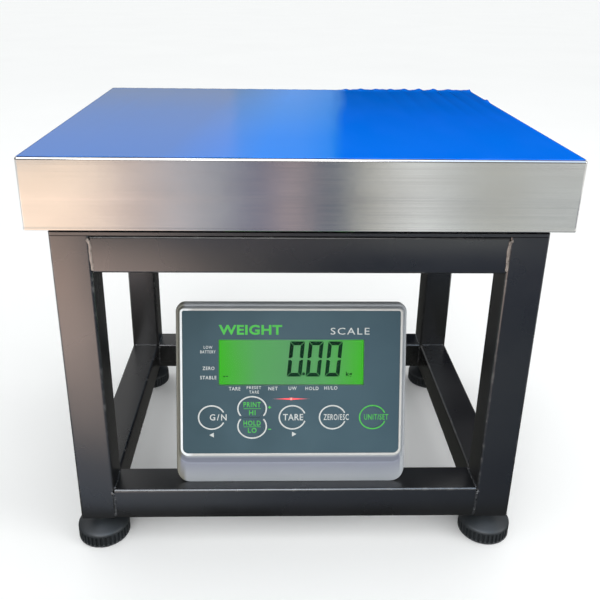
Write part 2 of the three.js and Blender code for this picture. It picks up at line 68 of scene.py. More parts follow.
def aimed(yaw, pitch, roll):
    """Rows are the camera's right, up and backward directions: the level frame turned by yaw, then tipped
    down by pitch, then right and up turned about the line of sight by roll."""
    level = math.cos(pitch)
    ahead = Vector((math.sin(yaw) * level, math.cos(yaw) * level, -math.sin(pitch)))
    right = Vector((math.cos(yaw), -math.sin(yaw), 0))
    up = right.cross(ahead)
    right, up = (
        right * math.cos(roll) + up * math.sin(roll),
        up * math.cos(roll) - right * math.sin(roll),
    )
    return Matrix((right, up, -ahead)).transposed()


lens = bpy.data.cameras.new("camera")
lens.sensor_width, lens.lens = SENSOR_WIDTH, FOCAL_LENGTH
lens.shift_x, lens.shift_y = LENS_SHIFT
camera = bpy.data.objects.new("camera", lens)
camera.matrix_world = Matrix.Translation(CAMERA_PLACE) @ aimed(YAW, PITCH, ROLL).to_4x4()
scene = bpy.context.scene
scene.collection.objects.link(camera)
scene.camera = camera
scene.view_settings.view_transform = "Standard"
print("camera", [round(v, 3) for v in camera.location])

# %% [markdown]
# Finishes come next, because even the floor needs one. Each is a principled shader. A value that is the
# same all over sits on the shader's own socket. What varies is wired to it through a few small helpers:
# a grain is noise in object coordinates, which can be stretched to make brushing or streaks.


# %% Helpers for finishes
def tint(red, green, blue):
    """A colour as a screen shows it, 0 to 255, turned into the linear values that a shader wants."""
    shown = np.array([red, green, blue]) / 255
    return tuple(np.where(shown > 0.04, ((shown + 0.055) / 1.055) ** 2.4, shown / 12.92))


def wire(material, kind, sockets=(), **settings):
    """Adds a node, sets its settings, and gives each socket a value or the output that feeds it."""
    made = material.node_tree.nodes.new("ShaderNode" + kind)
    for key, value in settings.items():
        setattr(made, key, value)
    for socket, value in dict(sockets).items():
        if isinstance(value, bpy.types.NodeSocket):
            material.node_tree.links.new(value, made.inputs[socket])
        else:
            made.inputs[socket].default_value = value
    return made.outputs


def finish(name, colour, roughness, **values):
    """A new material whose principled shader has these constants on its own sockets."""
    material = bpy.data.materials.new(name)
    material.use_nodes = True
    shader = material.node_tree.nodes["Principled BSDF"]
    shader.inputs["Base Color"].default_value = (*colour, 1)
    shader.inputs["Roughness"].default_value = roughness
    for socket, value in values.items():
        shader.inputs[socket.replace("_", " ")].default_value = value
    print("finish", name)
    return material


def feed(material, socket, output):
    """Wires an output to a socket of the material's principled shader."""
    shader = material.node_tree.nodes["Principled BSDF"]
    material.node_tree.links.new(output, shader.inputs[socket])


# %% Patterns in object coordinates
def spot(material, scale=(1, 1, 1), shift=(0, 0, 0)):
    """Object coordinates times a scale plus a shift."""
    coordinates = wire(material, "TexCoord")["Object"]
    return wire(material, "Mapping", {"Vector": coordinates, "Scale": scale, "Location": shift})["Vector"]


def axes_of(material, shift=(0, 0, 0)):
    """Object coordinates plus a shift, as three outputs called X, Y and Z."""
    return wire(material, "SeparateXYZ", {"Vector": spot(material, shift=shift)})


def maths(material, operation, *values):
    """A sum, a product or the like, of numbers or outputs."""
    return wire(material, "Math", dict(enumerate(values)), operation=operation)[0]


def grain(material, scale, stretch=(1, 1, 1), detail=3.0):
    """Noise between 0 and 1 with about `scale` lumps to the metre, stretched where `stretch` is small."""
    sockets = {"Vector": spot(material, stretch), "Scale": scale, "Detail": detail}
    return wire(material, "TexNoise", sockets)[0]


# %% Tones, mixes and relief
def ramp(material, value, *stops):
    """Colours at places between 0 and 1, blended in between."""
    made = material.node_tree.nodes.new("ShaderNodeValToRGB")
    while len(made.color_ramp.elements) < len(stops):
        made.color_ramp.elements.new(1)
    for element, (position, colour) in zip(made.color_ramp.elements, stops):
        element.position = position
        element.color = (*colour, 1)
    material.node_tree.links.new(value, made.inputs[0])
    return made.outputs[0]


def spread(material, value, low, high, start=0.3, stop=0.7):
    """A value that goes from low to high as the given one goes from start to stop."""
    sockets = {"Value": value, "From Min": start, "From Max": stop, "To Min": low, "To Max": high}
    return wire(material, "MapRange", sockets)[0]


def uneven(material, noise, dark, light, smooth, rough, start=0.3, stop=0.7, second_noise=None):
    """A noise drives the tone from dark to light. It, or a second noise, drives the roughness."""
    feed(material, "Base Color", ramp(material, noise, (start, tint(*dark)), (stop, tint(*light))))
    feed(material, "Roughness", spread(material, second_noise or noise, smooth, rough))


def blended(material, share, first, second):
    """Two colours mixed by a share between 0 and 1."""
    made = material.node_tree.nodes.new("ShaderNodeMix")
    made.data_type = "RGBA"
    colours = [s for s in made.inputs if s.type == "RGBA"]
    for socket, value in ((made.inputs[0], share), *zip(colours, (first, second))):
        if isinstance(value, bpy.types.NodeSocket):
            material.node_tree.links.new(value, socket)
        else:
            socket.default_value = value if isinstance(value, float) else (*value, 1)
    return next(s for s in made.outputs if s.type == "RGBA")


def relief(material, height, depth):
    """Fine relief of that depth in metres, on top of any relief the finish has already."""
    shader = material.node_tree.nodes["Principled BSDF"]
    below = [link.from_socket for link in shader.inputs["Normal"].links]
    sockets = {"Height": height, "Distance": depth, "Strength": 1.0}
    if below:
        sockets["Normal"] = below[0]
    feed(material, "Normal", wire(material, "Bump", sockets)["Normal"])


# %% [markdown]
# The studio is a pale floor under an even white sky, a large soft light in front and one at the right.
# Steel and gloss paint show only what stands round them, so the studio also has a room of cards that
# reflections can see and the camera can't. Its walls are dim and its ceiling is bright. On the floor lie
# a card for the pan's skirt, some for the stand, one for its feet and a dark one under and behind it.
# One hangs overhead for the pan's fold, and one stands behind for the film on the pan.

# %% Lay the floor under the sky
PALE = tint(250, 251, 251)
world = bpy.data.worlds.new("sky")
scene.world = world
world.use_nodes = True
world.node_tree.nodes["Background"].inputs["Color"].default_value = (*PALE, 1)
world.node_tree.nodes["Background"].inputs["Strength"].default_value = 1.0


def flat_sheet(name, low, high, material):
    """One face between two corners that share a height, a depth or a side."""
    low, high = np.array(low, float), np.array(high, float)
    flat = int(np.argmin(high - low))
    across, along = [axis for axis in range(3) if axis != flat]
    corners = np.tile(low, (4, 1))
    corners[1:3, across] = high[across]
    corners[2:, along] = high[along]
    mesh = bpy.data.meshes.new(name)
    mesh.from_pydata(corners.tolist(), [], [(0, 1, 2, 3)])
    mesh.materials.append(material)
    made = bpy.data.objects.new(name, mesh)
    scene.collection.objects.link(made)
    return made


pale_floor = finish("pale_floor", PALE, 0.9, Specular_IOR_Level=0.05)
cloud = grain(pale_floor, 1.5)
floor_tones = ramp(pale_floor, cloud, (0.3, tint(251, 252, 252)), (0.7, tint(253, 254, 254)))
feed(pale_floor, "Base Color", floor_tones)
FLOOR_REACH = 40
flat_sheet("floor", (-FLOOR_REACH, -FLOOR_REACH, 0), (FLOOR_REACH, FLOOR_REACH, 0), pale_floor)

# %% Make cards for reflections
FAN_X, FAN_Y = -27 * MM, 0.4


def card(name, low, high, axis, start, stop, *stops, strength=1.0):
    """A sheet that only reflections see. Its glow follows the stops from start to stop along an axis. The
    axis "fan" is (x less FAN_X) over (FAN_Y less y): stripes that spread out from a point on the floor
    under the pan, so that their reflections in an upright front stand upright too."""
    glow = bpy.data.materials.new(name)
    glow.use_nodes = True
    tree = glow.node_tree
    tree.nodes.remove(tree.nodes["Principled BSDF"])
    at = axes_of(glow)
    if axis == "fan":
        sideways = maths(glow, "SUBTRACT", at["X"], FAN_X)
        along = maths(glow, "DIVIDE", sideways, maths(glow, "SUBTRACT", FAN_Y, at["Y"]))
    else:
        along = at[axis]
    share = spread(glow, along, 0.0, 1.0, start, stop)
    light = wire(glow, "Emission", {"Color": ramp(glow, share, *stops), "Strength": strength})
    tree.links.new(light["Emission"], tree.nodes["Material Output"].inputs["Surface"])
    made = flat_sheet(name, low, high, glow)
    made.visible_camera = made.visible_diffuse = made.visible_shadow = False
    made.visible_transmission = made.visible_volume_scatter = False


ROOM, CEILING, LIGHT_GREY = 4.5, 3.6, (0.62, 0.63, 0.64)
WALL_STOPS = (0.0, (0.10, 0.10, 0.11)), (0.35, (0.20, 0.20, 0.21)), (1.0, LIGHT_GREY)
WALLS = {"left": (-1, -1, -1, 1), "right": (1, -1, 1, 1), "front": (-1, -1, 1, -1), "back": (-1, 1, 1, 1)}
for side, ends in WALLS.items():
    x_low, y_low, x_high, y_high = ROOM * np.array(ends)
    card("wall_" + side, (x_low, y_low, 0), (x_high, y_high, CEILING), "Z", 0.0, CEILING, *WALL_STOPS)
card(
    "ceiling", (-ROOM, -ROOM, CEILING), (ROOM, ROOM, CEILING), "X", -ROOM, ROOM,
    (0.0, LIGHT_GREY), (1.0, (0.8, 0.8, 0.8)),
)
print("room", 2 * ROOM, "m wide and", CEILING, "m high")

# %% Lay out the cards
CARD_RISE = 4 * MM
CREAM, LINEN, PUTTY = tint(241, 220, 201), tint(218, 201, 189), tint(183, 171, 168)
MIST, ASH, VIOLET = tint(165, 165, 172), tint(142, 146, 155), tint(104, 107, 127)
ROSE, SLATE, SAGE = tint(164, 149, 151), tint(88, 97, 112), tint(164, 165, 159)
PEARL, STONE, CLAY = tint(207, 211, 212), tint(178, 183, 183), tint(170, 173, 169)
card(
    "pan_card", (-1.6, -4.4, CARD_RISE), (1.8, -1.22, CARD_RISE), "fan", -0.392, 0.470,
    (0.02, CREAM), (0.09, LINEN), (0.165, PUTTY), (0.25, MIST), (0.333, ASH), (0.405, VIOLET), (0.43, VIOLET),
    (0.48, ROSE), (0.54, SLATE), (0.58, SLATE), (0.63, SAGE), (0.745, PEARL), (0.83, STONE), (0.90, CLAY),
    (0.95, CLAY), (1.0, STONE), strength=1.75,
)
# for each strip of floor: its nearer and farther y, then the stops of its glow
NEAR_STOPS = (0.54, (0.22, 0.24, 0.28)), (0.72, (0.14, 0.17, 0.22)), (1.0, (0.16, 0.19, 0.23))
STAND_CARDS = {
    "stand_far_card": (
        -1.22, -0.75,
        (0.0, (2.9, 2.1, 1.75)), (0.14, (2.8, 2.1, 1.8)), (0.18, (1.85, 1.45, 1.3)),
        (0.27, (1.55, 1.25, 1.12)), (0.36, (0.45, 0.46, 0.46)), (0.54, (0.155, 0.17, 0.21)),
        (0.72, (0.02, 0.055, 0.14)), (1.0, (0.0, 0.02, 0.12)),
    ),
    "stand_near_card_0": (-0.75, -0.50, (0.20, (2.8, 2.2, 1.95)), (0.36, (0.75, 0.68, 0.66)), *NEAR_STOPS),
    "stand_near_card_1": (-0.50, -0.41, (0.20, (1.7, 1.42, 1.32)), (0.36, (0.58, 0.55, 0.55)), *NEAR_STOPS),
    "stand_near_card_2": (-0.41, -0.34, (0.20, (0.85, 0.79, 0.78)), (0.36, (0.42, 0.42, 0.44)), *NEAR_STOPS),
    "foot_card": (
        -0.34, -0.23,
        (0.0, (0.38, 0.44, 0.54)), (0.36, (0.34, 0.38, 0.44)), (0.54, (0.21, 0.24, 0.30)),
        (1.0, (0.11, 0.13, 0.17)),
    ),
}
for name, (front, back, *stops) in STAND_CARDS.items():
    card(name, (-1.4, front, CARD_RISE), (1.6, back, CARD_RISE), "fan", -0.4, 0.42, *stops)
card(
    "back_card", (-0.55, -0.23, CARD_RISE), (0.55, 1.15, CARD_RISE), "X", -0.5, 0.5,
    (0.0, (0.14, 0.14, 0.13)), (0.5, (0.05, 0.05, 0.05)), (1.0, (0.08, 0.085, 0.07)),
)
card(
    "overhead_card", (-2.6, -3.4, 3.2), (2.6, -0.9, 3.2), "X", -1.5, 1.5,
    (0.0, (3.9, 4.0, 4.3)), (0.6, (3.3, 3.8, 4.5)), (1.0, (1.2, 1.7, 2.3)),
)
card(
    "film_card", (-3.5, 2.6, 0.55), (3.5, 2.6, 2.8), "X", -0.9, 0.9,
    (0.0, (0.42, 0.42, 0.42)), (0.37, (0.42, 0.42, 0.42)), (0.40, (0.24, 0.34, 0.42)),
    (0.56, (0.20, 0.30, 0.40)), (0.64, (0.10, 0.2, 0.3)), (0.655, (0.0, 0.01, 0.02)), (1.0, (0.0, 0.0, 0.01)),
)


# %% Hang the lights
def softbox(name, hung_at, width, power):
    """A square light of that width and power in watts, turned to face the middle of the stand."""
    lamp = bpy.data.lights.new(name, "AREA")
    lamp.size, lamp.energy = width, power
    made = bpy.data.objects.new(name, lamp)
    made.location = hung_at
    made.rotation_euler = (LIT_POINT - Vector(hung_at)).to_track_quat("-Z", "Y").to_euler()
    scene.collection.objects.link(made)


LIT_POINT = Vector((0, 0, 0.2))
softbox("front_light", (-0.3, -2.3, 1.7), 1.6, 20)
softbox("right_light", (2.0, -0.9, 1.2), 1.2, 14)

# %% [markdown]
# ## Skins
#
# Every new piece is a grid of points. Its rows are rings, and the faces join each ring to the next. A
# pan, a tube and a case are all the same thing: a rounded rectangle that changes size as it goes along.
# A wheel is a circle that does. So one rounded rectangle and one way of joining rings make most of it.


# %% Rings and skins
def grid_faces(rows, columns, closed_rows=False, closed_columns=True):
    """Four-cornered faces between neighbours of a grid. The last joins the first where it is closed."""
    row, column = np.meshgrid(
        np.arange(rows - (not closed_rows)), np.arange(columns - (not closed_columns)), indexing="ij"
    )
    below, beside = (row + 1) % rows, (column + 1) % columns
    corners = [(row, column), (row, beside), (below, beside), (below, column)]
    return np.stack([r * columns + c for r, c in corners], -1).reshape(-1, 4)


def area_of(ring):
    """A ring's area as a vector: half the sum of the cross products of neighbouring points."""
    return np.cross(ring, np.roll(ring, -1, 0)).sum(0) / 2


def skin(rings, closed_rows=False):
    """Rings of points joined into a closed skin, with a flat face on the first and on the last ring, or
    with the last ring joined to the first. Its volume is the sum over faces of a corner times the face's
    area over three, and if that is negative, all faces are turned round."""
    rows, columns, _ = rings.shape
    points = rings.reshape(-1, 3)
    quads = grid_faces(rows, columns, closed_rows)
    a, b, c, d = points[quads].transpose(1, 0, 2)
    volume = np.einsum("ij,ij->", a, np.cross(c - a, d - b)) / 6
    blocks = [quads]
    if not closed_rows:
        around = np.arange(columns)
        blocks.append(np.stack([around[::-1], around + (rows - 1) * columns]))
        volume += (rings[-1, 0] @ area_of(rings[-1]) - rings[0, 0] @ area_of(rings[0])) / 3
    return points, [block[:, ::-1] if volume < 0 else block for block in blocks]


# %% Rounded rectangles
CORNER_STEPS = 8


def rounded(half, low, high, radius_low, radius_high):
    """Rings of a rounded rectangle, one for each entry: a corner's centre plus its radius times the cosine
    and sine of a quarter turn, for each of the four corners."""
    sizes = np.broadcast_arrays(*map(np.atleast_1d, (half, low, high, radius_low, radius_high)))
    half, low, high, radius_low, radius_high = (np.asarray(v, float)[:, None] for v in sizes)
    quarter = np.linspace(0, np.pi / 2, CORNER_STEPS)
    turn = (quarter + np.pi / 2 * np.arange(-1, 3)[:, None]).ravel()
    side = np.repeat([1, 1, -1, -1], CORNER_STEPS)
    upper = np.repeat([False, True, True, False], CORNER_STEPS)
    radius = np.where(upper, radius_high, radius_low)
    across = side * (half - radius) + radius * np.cos(turn)
    along = np.where(upper, high - radius, low + radius) + radius * np.sin(turn)
    return np.stack([across, along], -1)


def raised(outline, height):
    """Flat rings given a height each, as points."""
    height = np.broadcast_to(np.asarray(height, float)[:, None], outline.shape[:2])
    return np.concatenate([outline, height[..., None]], -1)


# %% Put a mesh on show
def mesh_of(name, skins):
    """One mesh from several skins, put in as whole arrays: points, face corners and face starts."""
    starts = np.cumsum([0] + [len(points) for points, _ in skins])
    blocks = [block + start for start, (_, found) in zip(starts, skins) for block in found]
    sizes = np.concatenate([np.full(len(block), block.shape[1]) for block in blocks])
    corners = np.concatenate([block.ravel() for block in blocks])
    mesh = bpy.data.meshes.new(name)
    mesh.vertices.add(starts[-1])
    points = np.concatenate([points for points, _ in skins])
    mesh.vertices.foreach_set("co", points.astype(np.float32).ravel())
    mesh.loops.add(len(corners))
    mesh.loops.foreach_set("vertex_index", corners.astype(np.int32))
    mesh.polygons.add(len(sizes))
    mesh.polygons.foreach_set("loop_start", (np.cumsum(sizes) - sizes).astype(np.int32))
    mesh.update(calc_edges=True)
    mesh.validate()
    return mesh


def place(mesh, material, body, nodes=(), crisp=32):
    """Shows a mesh as a piece that rides on a body and stands for CAD nodes. Its faces are shaded smooth,
    except across edges sharper than `crisp` degrees."""
    mesh.materials.append(material)
    mesh.shade_smooth()
    mesh.set_sharp_from_angle(angle=math.radians(crisp))
    made = bpy.data.objects.new(mesh.name, mesh)
    scene.collection.objects.link(made)
    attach(made, body)
    if nodes:
        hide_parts(*nodes)
    print(made.name, len(mesh.polygons), "faces")
    return made


def box_of(node):
    """A node's lowest and highest corners as arrays."""
    return [np.array(corner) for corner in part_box(node)]


# %% [markdown]
# ## The pan
#
# The pan is one stainless sheet with its four sides folded down. Its section goes down inside the skirt,
# round the cut edge, up outside, round the fold and in over the top, and that section is carried round
# a rounded rectangle. The cut edge is dressed outwards by a quarter of a millimetre, which is what
# gives a real skirt the bright line along its foot.

# %% Brushed stainless steel
steel = finish("brushed_steel", tint(205, 203, 200), 0.14, Metallic=1.0)
brushing = grain(steel, 1.0, (3, 3, 1500), 4.0)
smear = grain(steel, 6.0, (1, 1, 2.5), 2.0)
uneven(steel, smear, (196, 193, 190), (214, 212, 209), 0.11, 0.19, second_noise=brushing)
relief(steel, brushing, 0.00002)
relief(steel, grain(steel, 7.0, (1, 1, 0.6), 1.0), 0.0002)
relief(steel, grain(steel, 34.0, (1, 1, 1.6), 2.0), 0.00009)

# %% Fold the pan
pan_low, pan_high = box_of("platter_pan")
SHEET, FOLD, CORNER, DRESSED = 1.5 * MM, 2.5 * MM, 3.0 * MM, 0.25 * MM
INNER_BEND, LEAST_CORNER = 1 * MM, 0.4 * MM


def fold_ring(inset, height):
    """The pan's outline drawn smaller by an inset, at a height, for whole arrays of both."""
    inset = np.asarray(inset)
    half_x, half_y = (pan_high[:2] - pan_low[:2]) / 2
    corner = np.maximum(CORNER - inset, LEAST_CORNER)
    return raised(rounded(half_x - inset, inset - half_y, half_y - inset, corner, corner), height)


arc = np.linspace(0, np.pi / 2, 9)
inside = SHEET + DRESSED
foot, top = pan_low[2], pan_high[2]
# the inner bend, the cut edge with its dressed lip, then the outer fold
pan_inset = np.concatenate([
    inside + INNER_BEND * (1 - np.sin(arc[::-1])), [inside, inside],
    np.array([1.2, 0.9, 0.3, 0, 0]) * MM, [DRESSED * 0.5, DRESSED, DRESSED],
    DRESSED + FOLD * (1 - np.cos(arc)),
])
pan_height = np.concatenate([
    top - SHEET - INNER_BEND * (1 - np.cos(arc[::-1])),
    foot + np.array([20, 0.3, 0, 0, 0.1, 0.4, 1.6, 2.4, 4, 30]) * MM,
    top - FOLD * (1 - np.sin(arc)),
])
pan_mesh = mesh_of("pan", [skin(fold_ring(pan_inset, pan_height))])
place(pan_mesh, steel, "pan", ["platter_pan"])

# %% [markdown]
# ## The film on the pan
#
# New pans come with a blue protective film. It clings to the left half, where trapped air makes it look
# milky and then a brighter blue towards the middle. Over the right half it is pulled tight and glossy. At
# the back edge it has let go: small scallops stand up there, and folds run forward from them on the right.
# The film is a height field: a grid over the pan. Its height sums the curl, the folds and a few low
# ridges that run from front to back, each a bell curve across the pan that fades in and out along it.

# %% Blue film
film = finish("blue_film", tint(0, 109, 236), 0.2, Specular_IOR_Level=0.32)
film_at = axes_of(film)
slanted = maths(film, "MULTIPLY_ADD", film_at["Y"], -0.1, film_at["X"])
drift = spread(film, grain(film, 7.0, (1, 0.3, 1), 2.0), -0.006, 0.006)
edge = maths(film, "ADD", slanted, drift)
near = spread(film, film_at["Y"], 0.0, 1.0, 0.17, -0.12)
tight = ramp(film, near, (0.0, tint(0, 110, 229)), (0.6, tint(0, 117, 252)), (1.0, tint(0, 121, 255)))
milky = ramp(film, near, (0.0, tint(90, 127, 184)), (0.5, tint(76, 127, 203)), (1.0, tint(74, 127, 208)))
bright = ramp(film, near, (0.0, tint(84, 152, 246)), (0.5, tint(62, 144, 244)), (1.0, tint(26, 134, 248)))
to_bright = spread(film, edge, 0.0, 1.0, -0.10, -0.02)
to_tight = spread(film, edge, 0.0, 1.0, 0.045, 0.056)
feed(film, "Base Color", blended(film, to_tight, blended(film, to_bright, milky, bright), tight))
feed(film, "Roughness", spread(film, grain(film, 12.0, (3, 1, 1), 2.0), 0.10, 0.18))
relief(film, grain(film, 9.0, (2, 0.5, 1), 2.0), 0.0001)

# %% Lay the film
film_low, film_high = box_of("pan_film")
rng = np.random.default_rng(11)
u = np.linspace(film_low[0], film_high[0], 360)
v = np.linspace(film_low[1], film_high[1], 120)
x, y = np.meshgrid(u, v)


def ridges(count, x_range, y_range, width, length, height):
    """Sum of `count` ridges: a bell curve across x times a bell curve along y, with a slight slant."""
    place_x = rng.uniform(*x_range, count)[:, None, None]
    place_y = rng.uniform(*y_range, count)[:, None, None]
    slant = rng.uniform(-0.12, 0.12, count)[:, None, None]
    tall = rng.uniform(0.3, 1.0, count)[:, None, None] * height
    across = (x - place_x - slant * (y - place_y)) / width
    return (tall * bell(across, 1) * bell(y - place_y, length)).sum(0)


def step(value, width):
    """A soft step from 0 to 1 about a value of 0: one over (1 plus e to the minus value over width)."""
    return 1 / (1 + np.exp(-value / width))


def bell(value, width):
    """A bell curve: e to the minus square of value over width."""
    return np.exp(-((value / width) ** 2))


CURL, EDGE_CURL, FOLD_SPACING, FILM_THICK = 12 * MM, 6 * MM, 21 * MM, 0.12 * MM
CLING, CURL_LOW, CURL_HIGH, FOLD_HIGH = 0.2 * MM, 0.4 * MM, 2.0 * MM, 0.8 * MM
lift = np.clip((y - film_high[1] + CURL) / CURL, 0, 1) ** 2
scallop = 0.62 + 0.26 * np.sin(x * 290 + 1.3 * np.sin(x * 41)) + 0.12 * np.sin(x * 611)
curl = lift * scallop * (CURL_LOW + CURL_HIGH * step(x - 0.071, 0.002))
waves = 0.5 + 0.5 * np.sin(2 * np.pi * x / FOLD_SPACING + np.sin(x * 60))
folds = FOLD_HIGH * waves**2 * bell(y - 0.2, 0.13) * step(x - 0.115, 0.006)
bubbles = ridges(9, (-0.24, 0.05), (-0.2, 0.2), 0.006, 0.08, 0.12 * MM)
right_edge = np.clip((x - film_high[0] + EDGE_CURL) / EDGE_CURL, 0, 1) ** 2
edge_curl = right_edge * (0.4 * MM + 2.2 * MM * bell(y - 0.11, 0.008))
slack = bell(y - film_low[1], 0.003) * 0.1 * MM * (1 + np.sin(x * 70))
sheet_top = np.stack([x, y, pan_high[2] + CLING + bubbles + folds + curl + edge_curl + slack], -1)
film_mesh = mesh_of("film", [(sheet_top.reshape(-1, 3), [grid_faces(*x.shape, closed_columns=False)])])
film_piece = place(film_mesh, film, "pan", ["pan_film"])
thickness = film_piece.modifiers.new("thickness", "SOLIDIFY")
thickness.thickness = FILM_THICK
thickness.offset = 0

# %% [markdown]
# ## The stand
#
# The stand is welded from square tube with rounded corners and painted satin black. Each tube is a
# rounded square carried from one end of its CAD part's box to the other. The paint is thin on the
# corners, so the corner points carry a wear value for the finish. A leg has a bore in its lower end for
# the foot's stud, so its section starts as a circle inside the bore and opens out into the square.

# %% Satin black paint
paint = finish("satin_black_paint", tint(15, 16, 18), 0.24, IOR=2.0)
patchy = grain(paint, 9.0, detail=4.0)
worn = wire(paint, "Attribute", attribute_name="wear")["Fac"]
chips = spread(paint, grain(paint, 120.0, detail=5.0), 0.0, 1.0, 0.55, 0.68)
rubbed = maths(paint, "MULTIPLY", worn, chips)
satin = ramp(paint, patchy, (0.3, tint(12, 13, 15)), (0.7, tint(19, 20, 22)))
feed(paint, "Base Color", blended(paint, rubbed, satin, tint(70, 69, 68)))
feed(paint, "Roughness", spread(paint, patchy, 0.22, 0.34))
relief(paint, grain(paint, 700.0, detail=2.0), 0.00008)

# %% Roll the tubes
TUBE, TUBE_CORNER, CUT_EASE, BORE, BORE_DEPTH = 38 * MM, 3 * MM, 0.5 * MM, 6.6 * MM, 34 * MM
leg_nodes = [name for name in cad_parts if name.startswith("leg_")]
rail_nodes = [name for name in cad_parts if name.startswith("rail_")]


def tube(node, bored=False):
    """A rounded square carried along its node's longest side: half width and corner radius at each height
    along it, then the three axes turned in a cycle so that the tube lies along that side."""
    low, high = box_of(node)
    axis = int(np.argmax(high - low))
    middle = np.roll((low + high) / 2, -1 - axis)
    start, stop = low[axis], high[axis]
    ease = CUT_EASE * np.array([1, 0, 0, 1])
    half, corner = TUBE / 2 - ease, TUBE_CORNER - ease
    along = np.array([start, start + CUT_EASE, stop - CUT_EASE, stop])
    if bored:
        half, corner = (np.concatenate([[BORE, BORE], sizes]) for sizes in (half, corner))
        along = np.concatenate([[start + BORE_DEPTH, start], along])
    rings = raised(rounded(half, -half, half, corner, corner), along)
    rings[..., :2] += middle[:2]
    return skin(np.roll(rings, axis + 1, axis=-1))


def mark(mesh, name, values):
    """Gives each point of a mesh a value that its finish can read by name."""
    mesh.attributes.new(name, "FLOAT", "POINT").data.foreach_set("value", values.ravel().astype(np.float32))


corner_wear = np.sin(np.linspace(0, np.pi, CORNER_STEPS))
for node in leg_nodes + rail_nodes:
    mesh = mesh_of(node + "_tube", [tube(node, node in leg_nodes)])
    mark(mesh, "wear", np.tile(corner_wear, len(mesh.vertices) // CORNER_STEPS))
    place(mesh, paint, "stand", [node])

# %% [markdown]
# The weld beads are what say that the stand is made by hand. A bead is a row of frozen ripples, so it is
# a low half round whose radius rises and falls along its length. It wanders a little to each side, and
# ends in a blob where the torch stopped. One bead runs along each open side of each rail's end. On the
# stand's outer faces its last quarter bends over onto the leg, where the torch was pulled away.

# %% Weld beads
weld = finish("weld_bead", tint(60, 58, 58), 0.34, IOR=2.0)
# the upper beads are painted lighter and browner with height, a painted warm reflection; the lower ones are
bead_tone_and_glints = grain(weld, 260.0)
# paint-dark with rare bright spots, which are painted glints
warm_reflection_share = spread(weld, axes_of(weld)["Z"], 0.0, 1.0, 0.1, 0.3)
paint_dark_with_painted_glints = ramp(weld, bead_tone_and_glints, (0.40, tint(26, 27, 29)), (0.60, tint(44, 45, 47)), (0.70, tint(128, 128, 130)))
painted_warm_reflection = ramp(weld, bead_tone_and_glints, (0.3, tint(92, 82, 74)), (0.7, tint(146, 134, 124)))
feed(weld, "Base Color", blended(weld, warm_reflection_share, paint_dark_with_painted_glints, painted_warm_reflection))
feed(weld, "Roughness", spread(weld, bead_tone_and_glints, 0.24, 0.42))
relief(weld, grain(weld, 1500.0), 0.00004)


BEAD_RADIUS, RIPPLE, HOOK_FROM = 0.95 * MM, 2.4 * MM, 0.72


def bead(start, stop, out, seed, hook):
    """A closed half round from start to stop on a face whose outward direction is `out`: radius times
    (1 + a ripple), shut down to nothing at both ends, with its centre line wandering sideways. Its last
    quarter bends sideways by `hook`, growing as the square of the way along."""
    start, stop, out = (np.asarray(v, float) for v in (start, stop, out))
    along = stop - start
    length = np.linalg.norm(along)
    side = np.cross(along / length, out)
    share = np.linspace(0, 1, 64)[:, None]
    taper = np.sqrt(np.clip(1 - (2 * share - 1) ** 8, 0.0004, 1))
    ripple = 1 + 0.16 * np.abs(np.sin(share * length / RIPPLE * np.pi + seed))
    blob = 1 + 0.8 * bell(share - 0.93, 0.04) + 0.4 * bell(share - 0.05, 0.03)
    radius = BEAD_RADIUS * taper * ripple * blob
    wander = 0.35 * MM * np.sin(share * 5 + seed) + 0.15 * MM * np.sin(share * 23 + 2 * seed)
    wander += hook * (np.clip(share - HOOK_FROM, 0, 1) / (1 - HOOK_FROM)) ** 2
    turn = np.linspace(0, 2 * np.pi, 13)[None, :-1]
    across = wander + 1.35 * radius * np.cos(turn)
    proud = 0.62 * radius * np.sin(turn)
    return skin(start + share[..., None] * along + across[..., None] * side + proud[..., None] * out)


beads = []
reach = TUBE / 2 - TUBE_CORNER + 0.6 * MM
HOOK, PAST_END = 2.4 * MM, 0.1 * MM
upward = np.array([0.0, 0, 1])
for node in rail_nodes:
    low, high = box_of(node)
    axis = int(np.argmax(high - low))
    middle = (low + high) / 2
    outward = np.zeros(3)
    outward[1 - axis] = math.copysign(1, middle[1 - axis])
    for sign, end in ((-1, low[axis] - PAST_END), (1, high[axis] + PAST_END)):
        joint = middle.copy()
        joint[axis] = end
        seed = 7 * joint[axis] + 31 * joint[1 - axis] + 13 * joint[2]
        hook = HOOK * sign * np.cross(upward, outward)[axis]
        # the bead's direction, the way its face looks, a factor for its seed, and its hook
        faces = [(upward, outward, 9, hook), (upward, -outward, 5, 0.0), (outward, -upward, 3, 0.0)]
        if "lower" in node:
            faces.append((outward, upward, 4, 0.0))
        for run, out, twist, bend in faces:
            middle_of_bead, half_run = joint + out * TUBE / 2, reach * run
            ends = middle_of_bead - half_run, middle_of_bead + half_run
            beads.append(bead(*ends, out, seed * twist, bend))
place(mesh_of("weld_beads", beads), weld, "stand", crisp=60)

# %% [markdown]
# ## The feet
#
# Each leg stands on a moulded wheel with a ribbed rim, on a threaded stud. Turning the wheel levels the
# scale. The wheel is a lathe profile whose radius dips between its 36 ribs, and the dip fades out at
# the smooth lip below them. The stud's radius follows a triangle wave of height less turn, which is
# a thread.

# %% Moulded black plastic
plastic = finish("moulded_black_plastic", tint(40, 43, 46), 0.4)
uneven(plastic, grain(plastic, 30.0), (35, 39, 42), (47, 51, 54), 0.36, 0.52)
relief(plastic, grain(plastic, 900.0, detail=2.0), 0.00008)

# %% Zinc plating
zinc = finish("zinc_plated_steel", tint(188, 190, 192), 0.3, Metallic=1.0)
uneven(zinc, grain(zinc, 60.0, detail=4.0), (172, 174, 174), (206, 207, 204), 0.24, 0.42)
relief(zinc, grain(zinc, 600.0), 0.00003)

# %% Turn the feet
RIBS, PITCH_OF_THREAD = 36, 1.75 * MM


